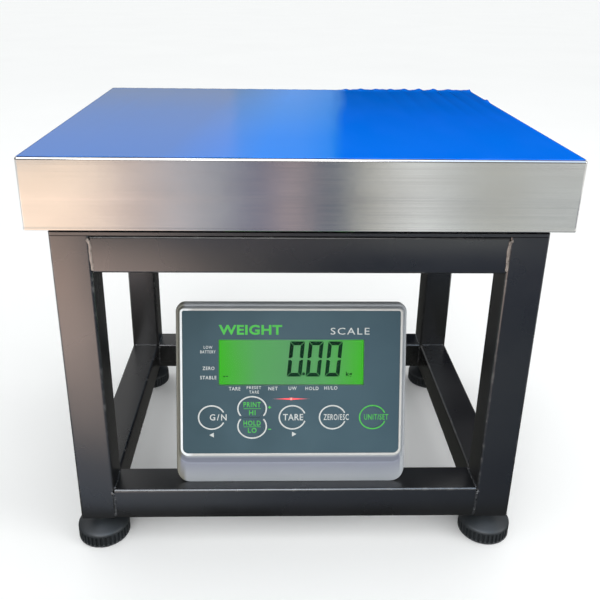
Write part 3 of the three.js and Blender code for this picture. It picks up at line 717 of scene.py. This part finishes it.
def turned(profile, centre, dip):
    """A lathe: each (radius, height) of the profile goes round the centre. `dip` is how deep the grooves
    between the ribs are at each height. A groove is a cosine wave with its tops and bottoms cut flat."""
    radius, height = np.asarray(profile, float).T[..., None] * MM
    turn = np.linspace(0, 2 * np.pi, RIBS * 10, endpoint=False)
    groove = np.clip(0.5 - 1.6 * np.cos(RIBS * turn), 0, 1)
    around = radius - dip[:, None] * MM * groove
    return skin(np.stack([around * np.cos(turn), around * np.sin(turn), height + 0 * turn], -1) + centre)


# radius and height in millimetres, from inside the bore over the top and down the rim
wheel_profile = [
    (6.2, 6.1), (6.2, 25.2), (6.8, 26), (8.9, 26), (9.4, 25.5), (9.6, 24.4), (10.6, 23.6), (15, 22.0),
    (20, 19.9), (24, 18.0), (26, 16.9), (27.2, 16.0), (27.8, 15.0), (28, 13.9), (28, 13.5), (28, 13.2),
    (28, 8), (28, 2.6), (28, 2.3), (28, 1.8), (28, 1.2), (27.4, 0.4), (26.4, 0),
]
wheel_dip = np.array([0] * 15 + [2.0, 2.0, 2.0] + [0] * 5)


THREAD_RADIUS, THREAD_DEPTH, THREAD_CHAMFER = 6.0 * MM, 0.95 * MM, 1.2 * MM


def thread(low, high, centre):
    """A stud: radius less depth times a triangle wave of (height over pitch less turns), with a chamfer of
    up to a millimetre at each end."""
    height = np.linspace(low, high, int((high - low) / PITCH_OF_THREAD * 8))[:, None]
    turn = np.linspace(0, 2 * np.pi, 33)[None, :-1]
    wave = np.abs(2 * np.mod(height / PITCH_OF_THREAD - turn / (2 * np.pi), 1) - 1)
    chamfer = np.clip(1 - np.minimum(height - low, high - height) / THREAD_CHAMFER, 0, 1) * MM
    around = THREAD_RADIUS - THREAD_DEPTH * wave - chamfer
    spiral = [around * np.cos(turn), around * np.sin(turn), height + 0 * turn]
    return skin(np.stack(spiral, -1) + np.array([centre[0], centre[1], 0]))


for corner in ("front_left", "front_right", "back_left", "back_right"):
    low, high = box_of("foot_wheel_" + corner)
    centre = np.array([*(low[:2] + high[:2]) / 2, low[2]])
    wheel = mesh_of("wheel_" + corner, [turned(wheel_profile, centre, wheel_dip)])
    place(wheel, plastic, "foot_wheel_" + corner, ["foot_wheel_" + corner], 40)
    low, high = box_of("foot_stud_" + corner)
    stud = mesh_of("stud_" + corner, [thread(low[2], high[2], centre)])
    place(stud, zinc, "foot_stud_" + corner, ["foot_stud_" + corner], 50)

# %% [markdown]
# ## The parts under the pan
#
# The base plate, the cast spider, the load cell, the pads and the bolts keep their CAD shapes, which are
# right as they are. They need finishes only: a sand-cast grain, a milled grain along the cell, rubber, and
# zinc. A copy of a CAD shape with its edges rounded serves where a part shows: the copy's loose
# triangles are merged, its flat faces are joined, and a bevel eases its edges.

# %% Finishes under the pan
cast = finish("cast_aluminium", tint(160, 161, 160), 0.55, Metallic=0.85)
sand = grain(cast, 400.0, detail=4.0)
uneven(cast, sand, (136, 137, 137), (176, 177, 175), 0.45, 0.7)
relief(cast, sand, 0.0003)

milled = finish("milled_aluminium", tint(196, 198, 200), 0.32, Metallic=1.0)
cutter = grain(milled, 1.0, (8, 900, 900))
uneven(milled, cutter, (182, 184, 187), (210, 211, 212), 0.25, 0.42)
relief(milled, cutter, 0.00003)

rubber = finish("black_rubber", tint(30, 30, 31), 0.8)
dust = grain(rubber, 150.0, detail=4.0)
uneven(rubber, dust, (28, 28, 29), (58, 57, 55), 0.7, 0.92, start=0.4, stop=0.75)
relief(rubber, grain(rubber, 1200.0), 0.0001)


def refinish(material, *starts):
    """Gives the CAD nodes whose names start so a new finish, and leaves their shapes alone."""
    for name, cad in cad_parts.items():
        if name.startswith(starts):
            cad.data.materials.clear()
            cad.data.materials.append(material)
            print(name, "has", material.name)


refinish(paint, "base_plate")
refinish(cast, "spider")
refinish(milled, "load_cell")
refinish(rubber, "pad_")


# %% Ease the edges of a copy
def eased(node, material, body, width, segments=2):
    """A copy of a CAD node with its points merged, its flat faces joined and its edges bevelled."""
    copy = bmesh.new()
    copy.from_mesh(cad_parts[node].data)
    bmesh.ops.remove_doubles(copy, verts=copy.verts, dist=1e-6)
    bmesh.ops.dissolve_limit(copy, angle_limit=math.radians(1), verts=copy.verts, edges=copy.edges)
    mesh = bpy.data.meshes.new(node + "_eased")
    copy.to_mesh(mesh)
    copy.free()
    bevel = place(mesh, material, body, [node]).modifiers.new("ease", "BEVEL")
    bevel.width, bevel.segments = width, segments
    bevel.limit_method, bevel.angle_limit = "ANGLE", math.radians(28)


for node in [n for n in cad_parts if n.startswith(("cell_bolt", "base_bolt"))]:
    eased(node, zinc, "stand", 0.3 * MM)

# %% [markdown]
# ## The indicator
#
# The indicator is drawn flat, in millimetres across, into and up its face, and then leaned back and set on
# the rail. Its front shell is one section carried round: in from the split line, round the outer edge,
# over the chin, along the groove, up the raised frame, and down into the recess that holds the face.
# Below the frame the section falls back over a longer way, which shades the band above the chin; its colour
# is also painted darker there.

# %% Lean things back
LEAN = math.radians(16.5)
rail_low, rail_high = box_of("rail_lower_front")
shell_low, shell_high = box_of("front_shell")
SET_BACK, STANDS_OFF = 9 * MM, 0.2 * MM
FACE_FOOT = np.array([
    (shell_low[0] + shell_high[0]) / 2, rail_low[1] + SET_BACK, rail_high[2] + STANDS_OFF,
])


def leaned(points):
    """Points (across, into, up), in millimetres, turned about the face's lower edge by the lean."""
    across, into, up = np.moveaxis(np.asarray(points, float) * MM, -1, 0)
    back = into * math.cos(LEAN) + up * math.sin(LEAN)
    rise = up * math.cos(LEAN) - into * math.sin(LEAN)
    return FACE_FOOT + np.stack([across, back, rise], -1)


def faced(outline, depth):
    """Flat rings (across, up), each at its depth into the indicator, leaned back."""
    depth = np.broadcast_to(np.asarray(depth, float)[:, None], outline.shape[:2])
    return leaned(np.stack([outline[..., 0], depth, outline[..., 1]], -1))


# %% [markdown]
# The case is one grey plastic, with light and shade painted into its colour: its top is painted lighter,
# its left side darker and its right side lighter, as light from the sides falls differently. The raised
# frame is painted paler, a painted highlight, and the band above the chin is painted darker, a painted
# shade. Those two come from the mesh: each point carries a value, 1 on the frame, -1 in the band and 0
# elsewhere.

# %% Grey case plastic with painted light and shade
case = finish("grey_case_plastic", tint(158, 158, 156), 0.4)
case_at = axes_of(case)
painted_highlight_and_shade = wire(case, "Attribute", attribute_name="painted_highlight_and_shade")["Fac"]


def painted_light_by_side(below, *edges):
    """A colour that turns into another past a place on an axis, for each (axis, start, stop, colour): painted
    light and shade on the case.
    """
    for axis, start, stop, colour in edges:
        below = blended(case, spread(case, case_at[axis], 0.0, 1.0, start, stop), below, tint(*colour))
    return below


# painted light: the top is painted lighter, the left side darker and olive, the right side lighter
shell_grey_with_painted_light = painted_light_by_side(
    ramp(case, grain(case, 14.0), (0.3, tint(156, 161, 166)), (0.7, tint(164, 168, 172))),
    ("Z", 0.262, 0.270, (196, 196, 193)), ("X", -0.120, -0.1235, (120, 119, 109)),
    ("X", 0.120, 0.1235, (200, 208, 210)),
)
# painted highlight: the raised frame is painted paler, palest at its left edge, a little darker along its top
painted_frame_highlight = painted_light_by_side(
    tint(190, 190, 187), ("X", -0.112, -0.118, (228, 232, 234)), ("Z", 0.256, 0.262, (178, 180, 178)),
)
# painted shade: the band above the chin is painted darker where the mesh's mark is -1
shell_with_painted_band_shade = blended(case, spread(case, painted_highlight_and_shade, 0.0, 1.0, 0.0, -1.0), shell_grey_with_painted_light, tint(120, 124, 137))
# the frame's painted highlight goes on where the mesh's mark is 1
feed(case, "Base Color", blended(case, spread(case, painted_highlight_and_shade, 0.0, 1.0, 0.0, 1.0), shell_with_painted_band_shade, painted_frame_highlight))
feed(case, "Roughness", spread(case, grain(case, 60.0), 0.38, 0.52))
relief(case, grain(case, 1600.0, detail=2.0), 0.00005)

# %% Mould the front shell
# half width, lower edge, upper edge, lower and upper corner radius, depth
front_section = np.array([
    (125.0, 0.0, 199.0, 15.0, 9.0, 18.0), (125.0, 0.0, 199.0, 15.0, 9.0, 7.0),
    (124.7, 0.3, 198.7, 14.7, 8.7, 5.6), (123.9, 1.1, 197.9, 13.9, 7.9, 4.5),
    (122.8, 2.2, 196.8, 12.8, 6.8, 4.0), (122.4, 21.0, 196.2, 12.4, 6.4, 4.0),
    (122.1, 22.6, 195.9, 12.0, 6.2, 4.8), (121.7, 24.0, 195.6, 11.6, 6.0, 4.6),
    (121.0, 28.2, 195.0, 10.0, 5.2, 2.4), (120.2, 31.2, 194.2, 8.8, 4.6, 0.8),
    (119.7, 32.1, 193.7, 8.2, 4.2, 0.2), (119.1, 32.8, 193.1, 7.7, 3.7, 0.0),
    (118.2, 33.8, 192.2, 6.8, 2.8, 0.0), (117.7, 34.3, 191.7, 6.3, 2.3, 0.2),
    (117.5, 34.5, 191.5, 6.0, 2.0, 0.6), (117.5, 34.5, 191.5, 6.0, 2.0, 2.2),
    (78.5, 110.0, 160.0, 1.0, 1.0, 2.2), (78.5, 110.0, 160.0, 1.0, 1.0, 6.5),
    (122.5, 4.4, 196.5, 12.5, 6.5, 6.5), (122.5, 4.4, 196.5, 12.5, 6.5, 18.0),
])
SHELL_WALL, BAND_ROWS, BAND_REACH, FRAME_DEPTH = 2.5, slice(5, 9), 5, 0.2
half, lower, upper, round_low, round_high, depth = front_section.T
wall = np.array([0.0] * (len(depth) - 2) + [SHELL_WALL] * 2)
lower = np.maximum(lower, depth * math.tan(LEAN) + wall)
outline = rounded(half, lower, upper, round_low, round_high)
front_mesh = mesh_of("indicator_front", [skin(faced(outline, depth), closed_rows=True)])
heights = outline[..., 1]
# each point's mark for painted light: 1 paints a highlight on the raised frame, -1 paints shade on the band
painted_highlight_and_shade_values = (depth[:, None] <= FRAME_DEPTH) + np.zeros_like(heights)
painted_highlight_and_shade_values[BAND_ROWS][heights[BAND_ROWS] < lower[BAND_ROWS, None] + BAND_REACH] = -1
mark(front_mesh, "painted_highlight_and_shade", painted_highlight_and_shade_values)
place(front_mesh, case, "stand", ["front_shell"])
eased("rear_shell", case, "stand", 1.0 * MM, 3)

# %% [markdown]
# The face is a printed sheet. A print is ink, so each ring, word and sign is a very thin solid that lies on
# the face and rides on the key under it where it belongs to one. Rings are a small rectangle carried
# round an oval, with a gap where the word crosses it. Words are Blender's own text, made a mesh first. A
# key's word reaches past the key's right edge, so its last letters stay on the face as the key goes down.

# %% Ink, face sheet and window
face = finish("face_sheet", tint(55, 76, 84), 0.42, Specular_IOR_Level=0.2)
rightwards = spread(face, axes_of(face)["X"], 0.0, 1.0, -0.12, 0.12)
face_share = maths(face, "ADD", rightwards, grain(face, 18.0, detail=2.0))
feed(face, "Base Color", ramp(
    face, spread(face, face_share, 0.0, 1.0, 0.3, 1.7),
    (0.1, tint(55, 77, 86)), (0.5, tint(66, 89, 99)), (0.9, tint(58, 81, 92)),
))
feed(face, "Roughness", spread(face, grain(face, 300.0), 0.38, 0.5))
relief(face, grain(face, 2600.0), 0.00002)
refinish(face, "face_sheet", "key_")


def ink(name, colour):
    """Screen-printed ink: nearly flat, a little uneven in tone, slightly raised."""
    made = finish(name, colour, 0.5)
    patchy = grain(made, 500.0, detail=2.0)
    darker = tuple(0.86 * c for c in colour)
    feed(made, "Base Color", ramp(made, patchy, (0.3, darker), (0.6, colour)))
    feed(made, "Roughness", spread(made, patchy, 0.42, 0.6))
    relief(made, patchy, 0.00001)
    return made


white_ink = ink("white_ink", tint(196, 200, 198))
green_ink = ink("green_ink", tint(64, 184, 62))

# %% Print rings and signs
INK_FRONT, INK_BACK = 0.22, 0.3


def ribbon(path, width, front=INK_FRONT, back=INK_BACK):
    """A flat line of ink: at each point of a path (across, up), half the width to either side along the
    normal, which is the path's direction turned by a quarter, at the ink's front and back depths."""
    path = np.asarray(path, float)
    ahead = np.gradient(path, axis=0)
    normal = np.stack([-ahead[:, 1], ahead[:, 0]], -1) / np.linalg.norm(ahead, axis=1)[:, None]
    width = np.broadcast_to(width, len(path))[:, None]
    left, right = path + normal * width / 2, path - normal * width / 2
    outline = np.stack([left, right, right, left], 1)
    depth = np.broadcast_to([front, front, back, back], outline.shape[:2])
    return skin(leaned(np.stack([outline[..., 0], depth, outline[..., 1]], -1)))


def oval(centre, size, start, stop):
    """Points of an oval between two angles in degrees, measured from its right-hand side upwards."""
    turn = np.radians(np.linspace(start, stop, 73))
    return np.stack([centre[0] + size[0] * np.cos(turn), centre[1] + size[1] * np.sin(turn)], -1)


def printed_piece(name, skins, material, body="stand"):
    """Ink as one piece that rides on the face, or on a key."""
    return place(mesh_of(name, skins), material, body, crisp=40)


RING, PAIR_RING, LINE, GREEN_LINE, SIGN_LINE = (14.2, 12.9), (15.4, 13.2), 1.5, 1.3, 1.0
KEY_STEP, KEY_LINE, PAIR_RISE, PRINT_SHIFT = 43.7, 74.5, 9.8, 1.2
key_x = dict(zip(("gross_net", "pair", "tare", "zero", "unit"), KEY_STEP * np.arange(-2, 3)))
ring_x = {name: across + PRINT_SHIFT for name, across in key_x.items()}
# which key, one up or one down in the pair, the oval's half sizes, and where its line starts and stops
white_rings = [
    ribbon(oval((ring_x[key], KEY_LINE + row * PAIR_RISE), size, start, stop), LINE)
    for key, row, size, start, stop in (
        ("gross_net", 0, RING, 26, 334), ("tare", 0, RING, 20, 342), ("zero", 0, RING, 22, 340),
        ("pair", 1, PAIR_RING, -37, 217), ("pair", -1, PAIR_RING, 143, 397),
    )
]
arrow_left = ribbon([(-88.6, 55.0), (-84.0, 55.0)], [0.4, 5.2])
arrow_right = ribbon([(0.9, 55.8), (5.4, 55.8)], [5.2, 0.4])
printed_piece("white_rings", [*white_rings, arrow_left, arrow_right], white_ink)
sign_left, sign_right = -25.2, -21.9
sign_middle = (sign_left + sign_right) / 2
printed_piece("green_ring_and_signs", [
    ribbon(oval((ring_x["unit"], KEY_LINE), RING, 22, 340), GREEN_LINE),
    ribbon([(sign_left, 85.6), (sign_right, 85.6)], SIGN_LINE),
    ribbon([(sign_middle, 84.0), (sign_middle, 87.2)], SIGN_LINE, INK_FRONT - 0.01, INK_BACK - 0.01),
    ribbon([(sign_left, 61.3), (sign_right, 61.3)], SIGN_LINE),
], green_ink)


# %% Print words
def word(text, centre, tall, wide, weight=0.0, spacing=1.15):
    """A word as a thin solid, `wide` by `tall` millimetres about its centre. The font's own outline is
    made a mesh, measured, scaled to that size and laid on the face."""
    curve = bpy.data.curves.new(text, "FONT")
    curve.body, curve.extrude, curve.offset = text, 0.5, weight
    curve.resolution_u = 3
    curve.space_character = spacing
    holder = bpy.data.objects.new(text, curve)
    scene.collection.objects.link(holder)
    bpy.context.view_layer.update()
    flat = holder.to_mesh()
    points = np.zeros(len(flat.vertices) * 3)
    sizes = np.zeros(len(flat.polygons), int)
    corners = np.zeros(len(flat.loops), int)
    flat.vertices.foreach_get("co", points)
    flat.polygons.foreach_get("loop_total", sizes)
    flat.loops.foreach_get("vertex_index", corners)
    holder.to_mesh_clear()
    bpy.data.objects.remove(holder)
    bpy.data.curves.remove(curve)
    starts = np.cumsum(sizes) - sizes
    blocks = [corners[starts[sizes == size][:, None] + np.arange(size)] for size in np.unique(sizes)]
    points = points.reshape(-1, 3)
    low, high = points.min(0), points.max(0)
    share = (points - (low + high) / 2) / (high - low)
    depth = (INK_FRONT + INK_BACK) / 2 - share[:, 2] * (INK_BACK - INK_FRONT)
    local = np.stack([centre[0] + share[:, 0] * wide, depth, centre[1] + share[:, 1] * tall], -1)
    return leaned(local), blocks


def print_words(name, words, material):
    """Several words in one piece."""
    printed_piece(name, [word(*w) for w in words], material)


# %% Print the labels
# each word's middle, height, width, extra weight and spacing
print_words("labels_left", [
    ("LOW", (-89.8, 151.8), 3.2, 9.4, 0.014, 1.25), ("BATTERY", (-90.0, 146.8), 3.2, 16.4, 0.014, 1.25),
    ("ZERO", (-89.5, 128.8), 3.8, 12.8, 0.016, 1.2), ("STABLE", (-89.7, 118.6), 3.8, 17.6, 0.016, 1.2),
], white_ink)
print_words("labels_below", [
    ("TARE", (-61.4, 106.4), 3.9, 12.4, 0.016, 1.2), ("PRESET", (-40.6, 107.5), 3.2, 15.6, 0.014, 1.25),
    ("TARE", (-40.4, 102.6), 3.2, 10.6, 0.014, 1.25), ("NET", (-19.9, 106.5), 3.9, 10.0, 0.016, 1.2),
    ("UW", (1.3, 106.7), 3.9, 8.8, 0.016, 1.2), ("HOLD", (22.3, 106.6), 3.9, 14.2, 0.016, 1.2),
    ("HI/LO", (42.8, 107.0), 3.9, 14.2, 0.016, 1.2),
], white_ink)
print_words("plain_name", [("WEIGHT", (-44.3, 170.8), 10.8, 68.0, 0.03, 1.05)], green_ink)
print_words("plain_type", [("SCALE", (63.0, 169.4), 7.4, 42.0, 0.0, 1.2)], white_ink)
# each key's word, how far right of the key's middle it sits, its height, its width and its spacing
ON_KEY = {
    "gross_net": ("G/N", 8.2, 6.9, 18.2, 1.3), "tare": ("TARE", 2.0, 7.0, 21.8, 1.1),
    "zero": ("ZERO/ESC", 5.2, 6.6, 27.4, 1.15), "unit": ("UNIT/SET", 5.2, 6.2, 26.4, 1.15),
}

# %% Cut a key's word in two
LEAST_GAP, INSIDE_EDGE = 0.02, 0.3


def cut_word(printed, edge):
    """A word cut in two at its last gap between letters before `edge`, in millimetres across the face. Each
    face covers a stretch from its lowest to its highest x. With the faces in order of their lowest x, there
    is a gap where that is more than the highest x so far. Each half's points are numbered afresh."""
    points, blocks = printed
    across = (points[:, 0] - FACE_FOOT[0]) / MM
    starts = np.concatenate([across[block].min(1) for block in blocks])
    stops = np.concatenate([across[block].max(1) for block in blocks])
    order = np.argsort(starts)
    reached = np.maximum.accumulate(stops[order])[:-1]
    following = starts[order][1:]
    cuts = ((reached + following) / 2)[following > reached + LEAST_GAP]
    cut = cuts[cuts < edge].max()
    halves = []
    for wanted in (across < cut, across >= cut):
        kept = [block[wanted[block].all(1)] for block in blocks]
        fresh = np.cumsum(wanted) - 1
        halves.append((points[wanted], [fresh[block] for block in kept if len(block)]))
    return halves


# %% Print the keys
past_keys = {"white": [], "green": []}
inks = {"white": white_ink, "green": green_ink}
for key, (text, shift, tall, wide, spacing) in ON_KEY.items():
    printed = word(text, (key_x[key] + shift, KEY_LINE + 0.2), tall, wide, 0.012, spacing)
    _, key_high = box_of("key_" + key)
    on_key, past_key = cut_word(printed, (key_high[0] - FACE_FOOT[0]) / MM - INSIDE_EDGE)
    tone = "green" if key == "unit" else "white"
    past_keys[tone].append(past_key)
    printed_piece("word_" + key, [on_key], inks[tone], "key_" + key)
printed_piece("letters_past_keys", past_keys["white"], white_ink)
printed_piece("letters_past_green_key", past_keys["green"], green_ink)
# each key of the pair: its two words, one up or one down, the upper word's rise, the lower word's width,
# and the rise of the line between them
PAIR = {
    "print": ("PRINT", "HI", 1, 4.4, 7.0, -0.1), "hold": ("HOLD", "LO", -1, 3.5, 9.4, -0.6),
}
for key, (upper_word, lower_word, row, rise, lower_wide, line) in PAIR.items():
    across, up = ring_x["pair"], KEY_LINE + row * PAIR_RISE
    printed_piece("words_" + key, [
        word(upper_word, (across, up + rise), 5.6, 18.6, 0.015),
        word(lower_word, (across + 0.2, up - 4.6), 5.4, lower_wide, 0.015),
        ribbon([(across - 9.2, up + line), (across + 9.4, up + line)], 0.55),
    ], green_ink, "key_" + key)

# %% [markdown]
# ## The screen
#
# The screen is a liquid crystal glass with a green lamp behind it, under a clear window. The lamp's light
# enters at the two ends, so the green is brighter and yellower there. The glow and its fall-off go
# on the CAD display. The figures are the crystal's dark segments: six flat bars, each cut at its ends
# to meet its neighbours, leaned over a little as such figures are.

# %% Light the screen
SCREEN_HALF = 78.5 * MM
lit = finish("lit_screen", tint(70, 150, 80), 0.35, Specular_IOR_Level=0.15, Emission_Strength=0.85)
screen_x = axes_of(lit, (-FACE_FOOT[0], 0, 0))["X"]
end_share = maths(lit, "ABSOLUTE", maths(lit, "MULTIPLY", screen_x, 1 / SCREEN_HALF))
glow_share = maths(lit, "ADD", end_share, spread(lit, grain(lit, 14.0), -0.08, 0.08))
feed(lit, "Base Color", ramp(lit, glow_share, (0.0, tint(20, 52, 24)), (1.0, tint(20, 56, 14))))
feed(lit, "Emission Color", ramp(
    lit, glow_share,
    (0.0, tint(93, 158, 103)), (0.45, tint(89, 165, 96)), (0.78, tint(77, 175, 68)), (1.0, tint(60, 182, 34)),
))
refinish(lit, "display_module")

window = finish("clear_window", (0.97, 0.99, 0.97), 0.02, Transmission_Weight=1.0, IOR=1.12)
feed(window, "Roughness", spread(window, grain(window, 22.0), 0.0, 0.03))
refinish(window, "screen_window")

# %% Draw the figures
crystal = finish("dark_segments", tint(10, 50, 30), 0.5, Specular_IOR_Level=0.05)
fine = grain(crystal, 200.0)
uneven(crystal, grain(crystal, 60.0), (6, 40, 24), (12, 56, 32), 0.35, 0.5, second_noise=fine)
FIGURE_WIDE, FIGURE_TALL, STROKE, GAP, SLANT = 15.8, 38.5, 4.1, 0.45, 3.7 / 38.5
FIGURE_FOOT, CRYSTAL = 119.5, (0.98, 1.06)


def dark(outline):
    """A thin skin of crystal inside an outline of points (across, up)."""
    return skin(faced(np.stack([outline, outline]), CRYSTAL))


def dark_spot(centre, half_wide, half_tall, corner):
    """A rounded spot of crystal about a centre."""
    return dark(rounded(half_wide, -half_tall, half_tall, corner, corner)[0] + centre)


def segments(left):
    """The six bars of a 0 as closed outlines: each is a bar with its ends cut at 45 degrees, then sheared
    so that across grows with height. Returns one thin skin for each bar."""
    wide, tall, s, g = FIGURE_WIDE, FIGURE_TALL, STROKE, GAP
    mid = tall / 2
    top_bar = [(g, tall), (wide - g, tall), (wide - s - g * 0.2, tall - s), (s + g * 0.2, tall - s)]
    waist = mid + 0.5 + g
    upright = [(0, tall - g), (s, tall - s - g), (s, mid + 1.8 + g), (s / 2, waist), (0, waist)]
    top_bar, upright = np.array(top_bar), np.array(upright)
    flip_x, flip_y = np.array([[wide, 0], [-1, 1]]), np.array([[0, tall], [1, -1]])
    lower_upright = flip_y[0] + flip_y[1] * upright
    bars = [top_bar, flip_y[0] + flip_y[1] * top_bar]
    for bar in (upright, lower_upright):
        bars += [bar, flip_x[0] + flip_x[1] * bar]
    return [dark(bar @ [[1, 0], [SLANT, 1]] + (left, FIGURE_FOOT)) for bar in bars]


figures = [bar for left in (-5.1, 15.2, 36.0) for bar in segments(left)]
figures.append(dark_spot((13.1, 122.4), 1.5, 1.6, 1.1))
place(mesh_of("figures", figures), crystal, "stand", crisp=40)
unit_points, unit_blocks = word("kg", (62.4, 121.6), 6.4, 6.6, 0.02)
behind_glass = leaned([0, CRYSTAL[0] - INK_FRONT, 0]) - leaned([0, 0, 0])
marks = [(unit_points + behind_glass, unit_blocks)]
marks += [dark_spot(at, 1.0, 0.6, 0.4) for at in ((-72.6, 119.6), (-69.6, 119.8))]
place(mesh_of("unit_mark", marks), crystal, "stand", crisp=40)

# %% [markdown]
# A thin red charge light glows through the face between the screen and the keys. It is a flat spindle:
# its half height falls to nothing at both ends. Its glow falls off from the middle, from its own
# place along the face.

# %% Charge light
LIGHT_HALF, LIGHT_SHIFT, LIGHT_RISE = 20.5, -0.2, 95.0
charge = finish("charge_light", tint(150, 60, 66), 0.4, Emission_Strength=0.7)
charge_x = axes_of(charge, (-FACE_FOOT[0] - LIGHT_SHIFT * MM, 0, 0))["X"]
away = maths(charge, "ABSOLUTE", maths(charge, "MULTIPLY", charge_x, 1 / (LIGHT_HALF * MM)))
red = ramp(
    charge, away,
    (0.0, tint(255, 150, 140)), (0.07, tint(252, 70, 76)), (0.45, tint(196, 66, 74)), (1.0, tint(90, 84, 94)),
)
feed(charge, "Base Color", red)
feed(charge, "Emission Color", red)
along = np.linspace(-LIGHT_HALF, LIGHT_HALF, 61)
spindle = 1.5 * (1 - (along / (LIGHT_HALF + 0.1)) ** 2) ** 1.5 + 0.9 * bell(along, 1.6) + 0.12
light_path = np.stack([along + LIGHT_SHIFT, LIGHT_RISE + 0 * along], -1)
place(mesh_of("charge_light", [ribbon(light_path, spindle)]), charge, "stand", crisp=40)

# %% [markdown]
# ## Inside and behind the indicator
#
# The board, the battery, the ports, the switch, the screws and the bracket are rarely seen. They keep
# their CAD shapes with eased edges where they show at the back, and get finishes of their own: a board
# with faint tracks, a battery in grey film, and black plastic on the ports and the cable gland.

# %% Finish the parts behind
board = finish("circuit_board", tint(24, 84, 50), 0.4)
tracks = wire(board, "TexBrick", {
    "Vector": spot(board), "Color1": (*tint(22, 78, 46), 1), "Color2": (*tint(30, 98, 60), 1),
    "Mortar": (*tint(60, 128, 84), 1), "Scale": 60.0, "Mortar Size": 0.02,
})["Color"]
feed(board, "Base Color", tracks)
feed(board, "Roughness", spread(board, grain(board, 90.0), 0.3, 0.5))
refinish(board, "circuit_board")

battery = finish("battery_film", tint(92, 94, 98), 0.5)
fine = grain(battery, 120.0)
uneven(battery, grain(battery, 40.0), (86, 88, 92), (104, 106, 110), 0.4, 0.6, second_noise=fine)
relief(battery, grain(battery, 300.0), 0.00008)
refinish(battery, "battery")


# %% Ease what shows behind
PORT_EASE = 0.35 * MM
eased("power_inlet", plastic, "stand", PORT_EASE)
eased("switch_frame", plastic, "stand", PORT_EASE)
eased("indicator_bracket", paint, "stand", PORT_EASE)
eased("power_rocker", plastic, "power_rocker", PORT_EASE)
for node in [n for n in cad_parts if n.startswith("case_screw")]:
    eased(node, zinc, "stand", 0.2 * MM)
eased("cable_gland", plastic, "stand", 0.4 * MM)
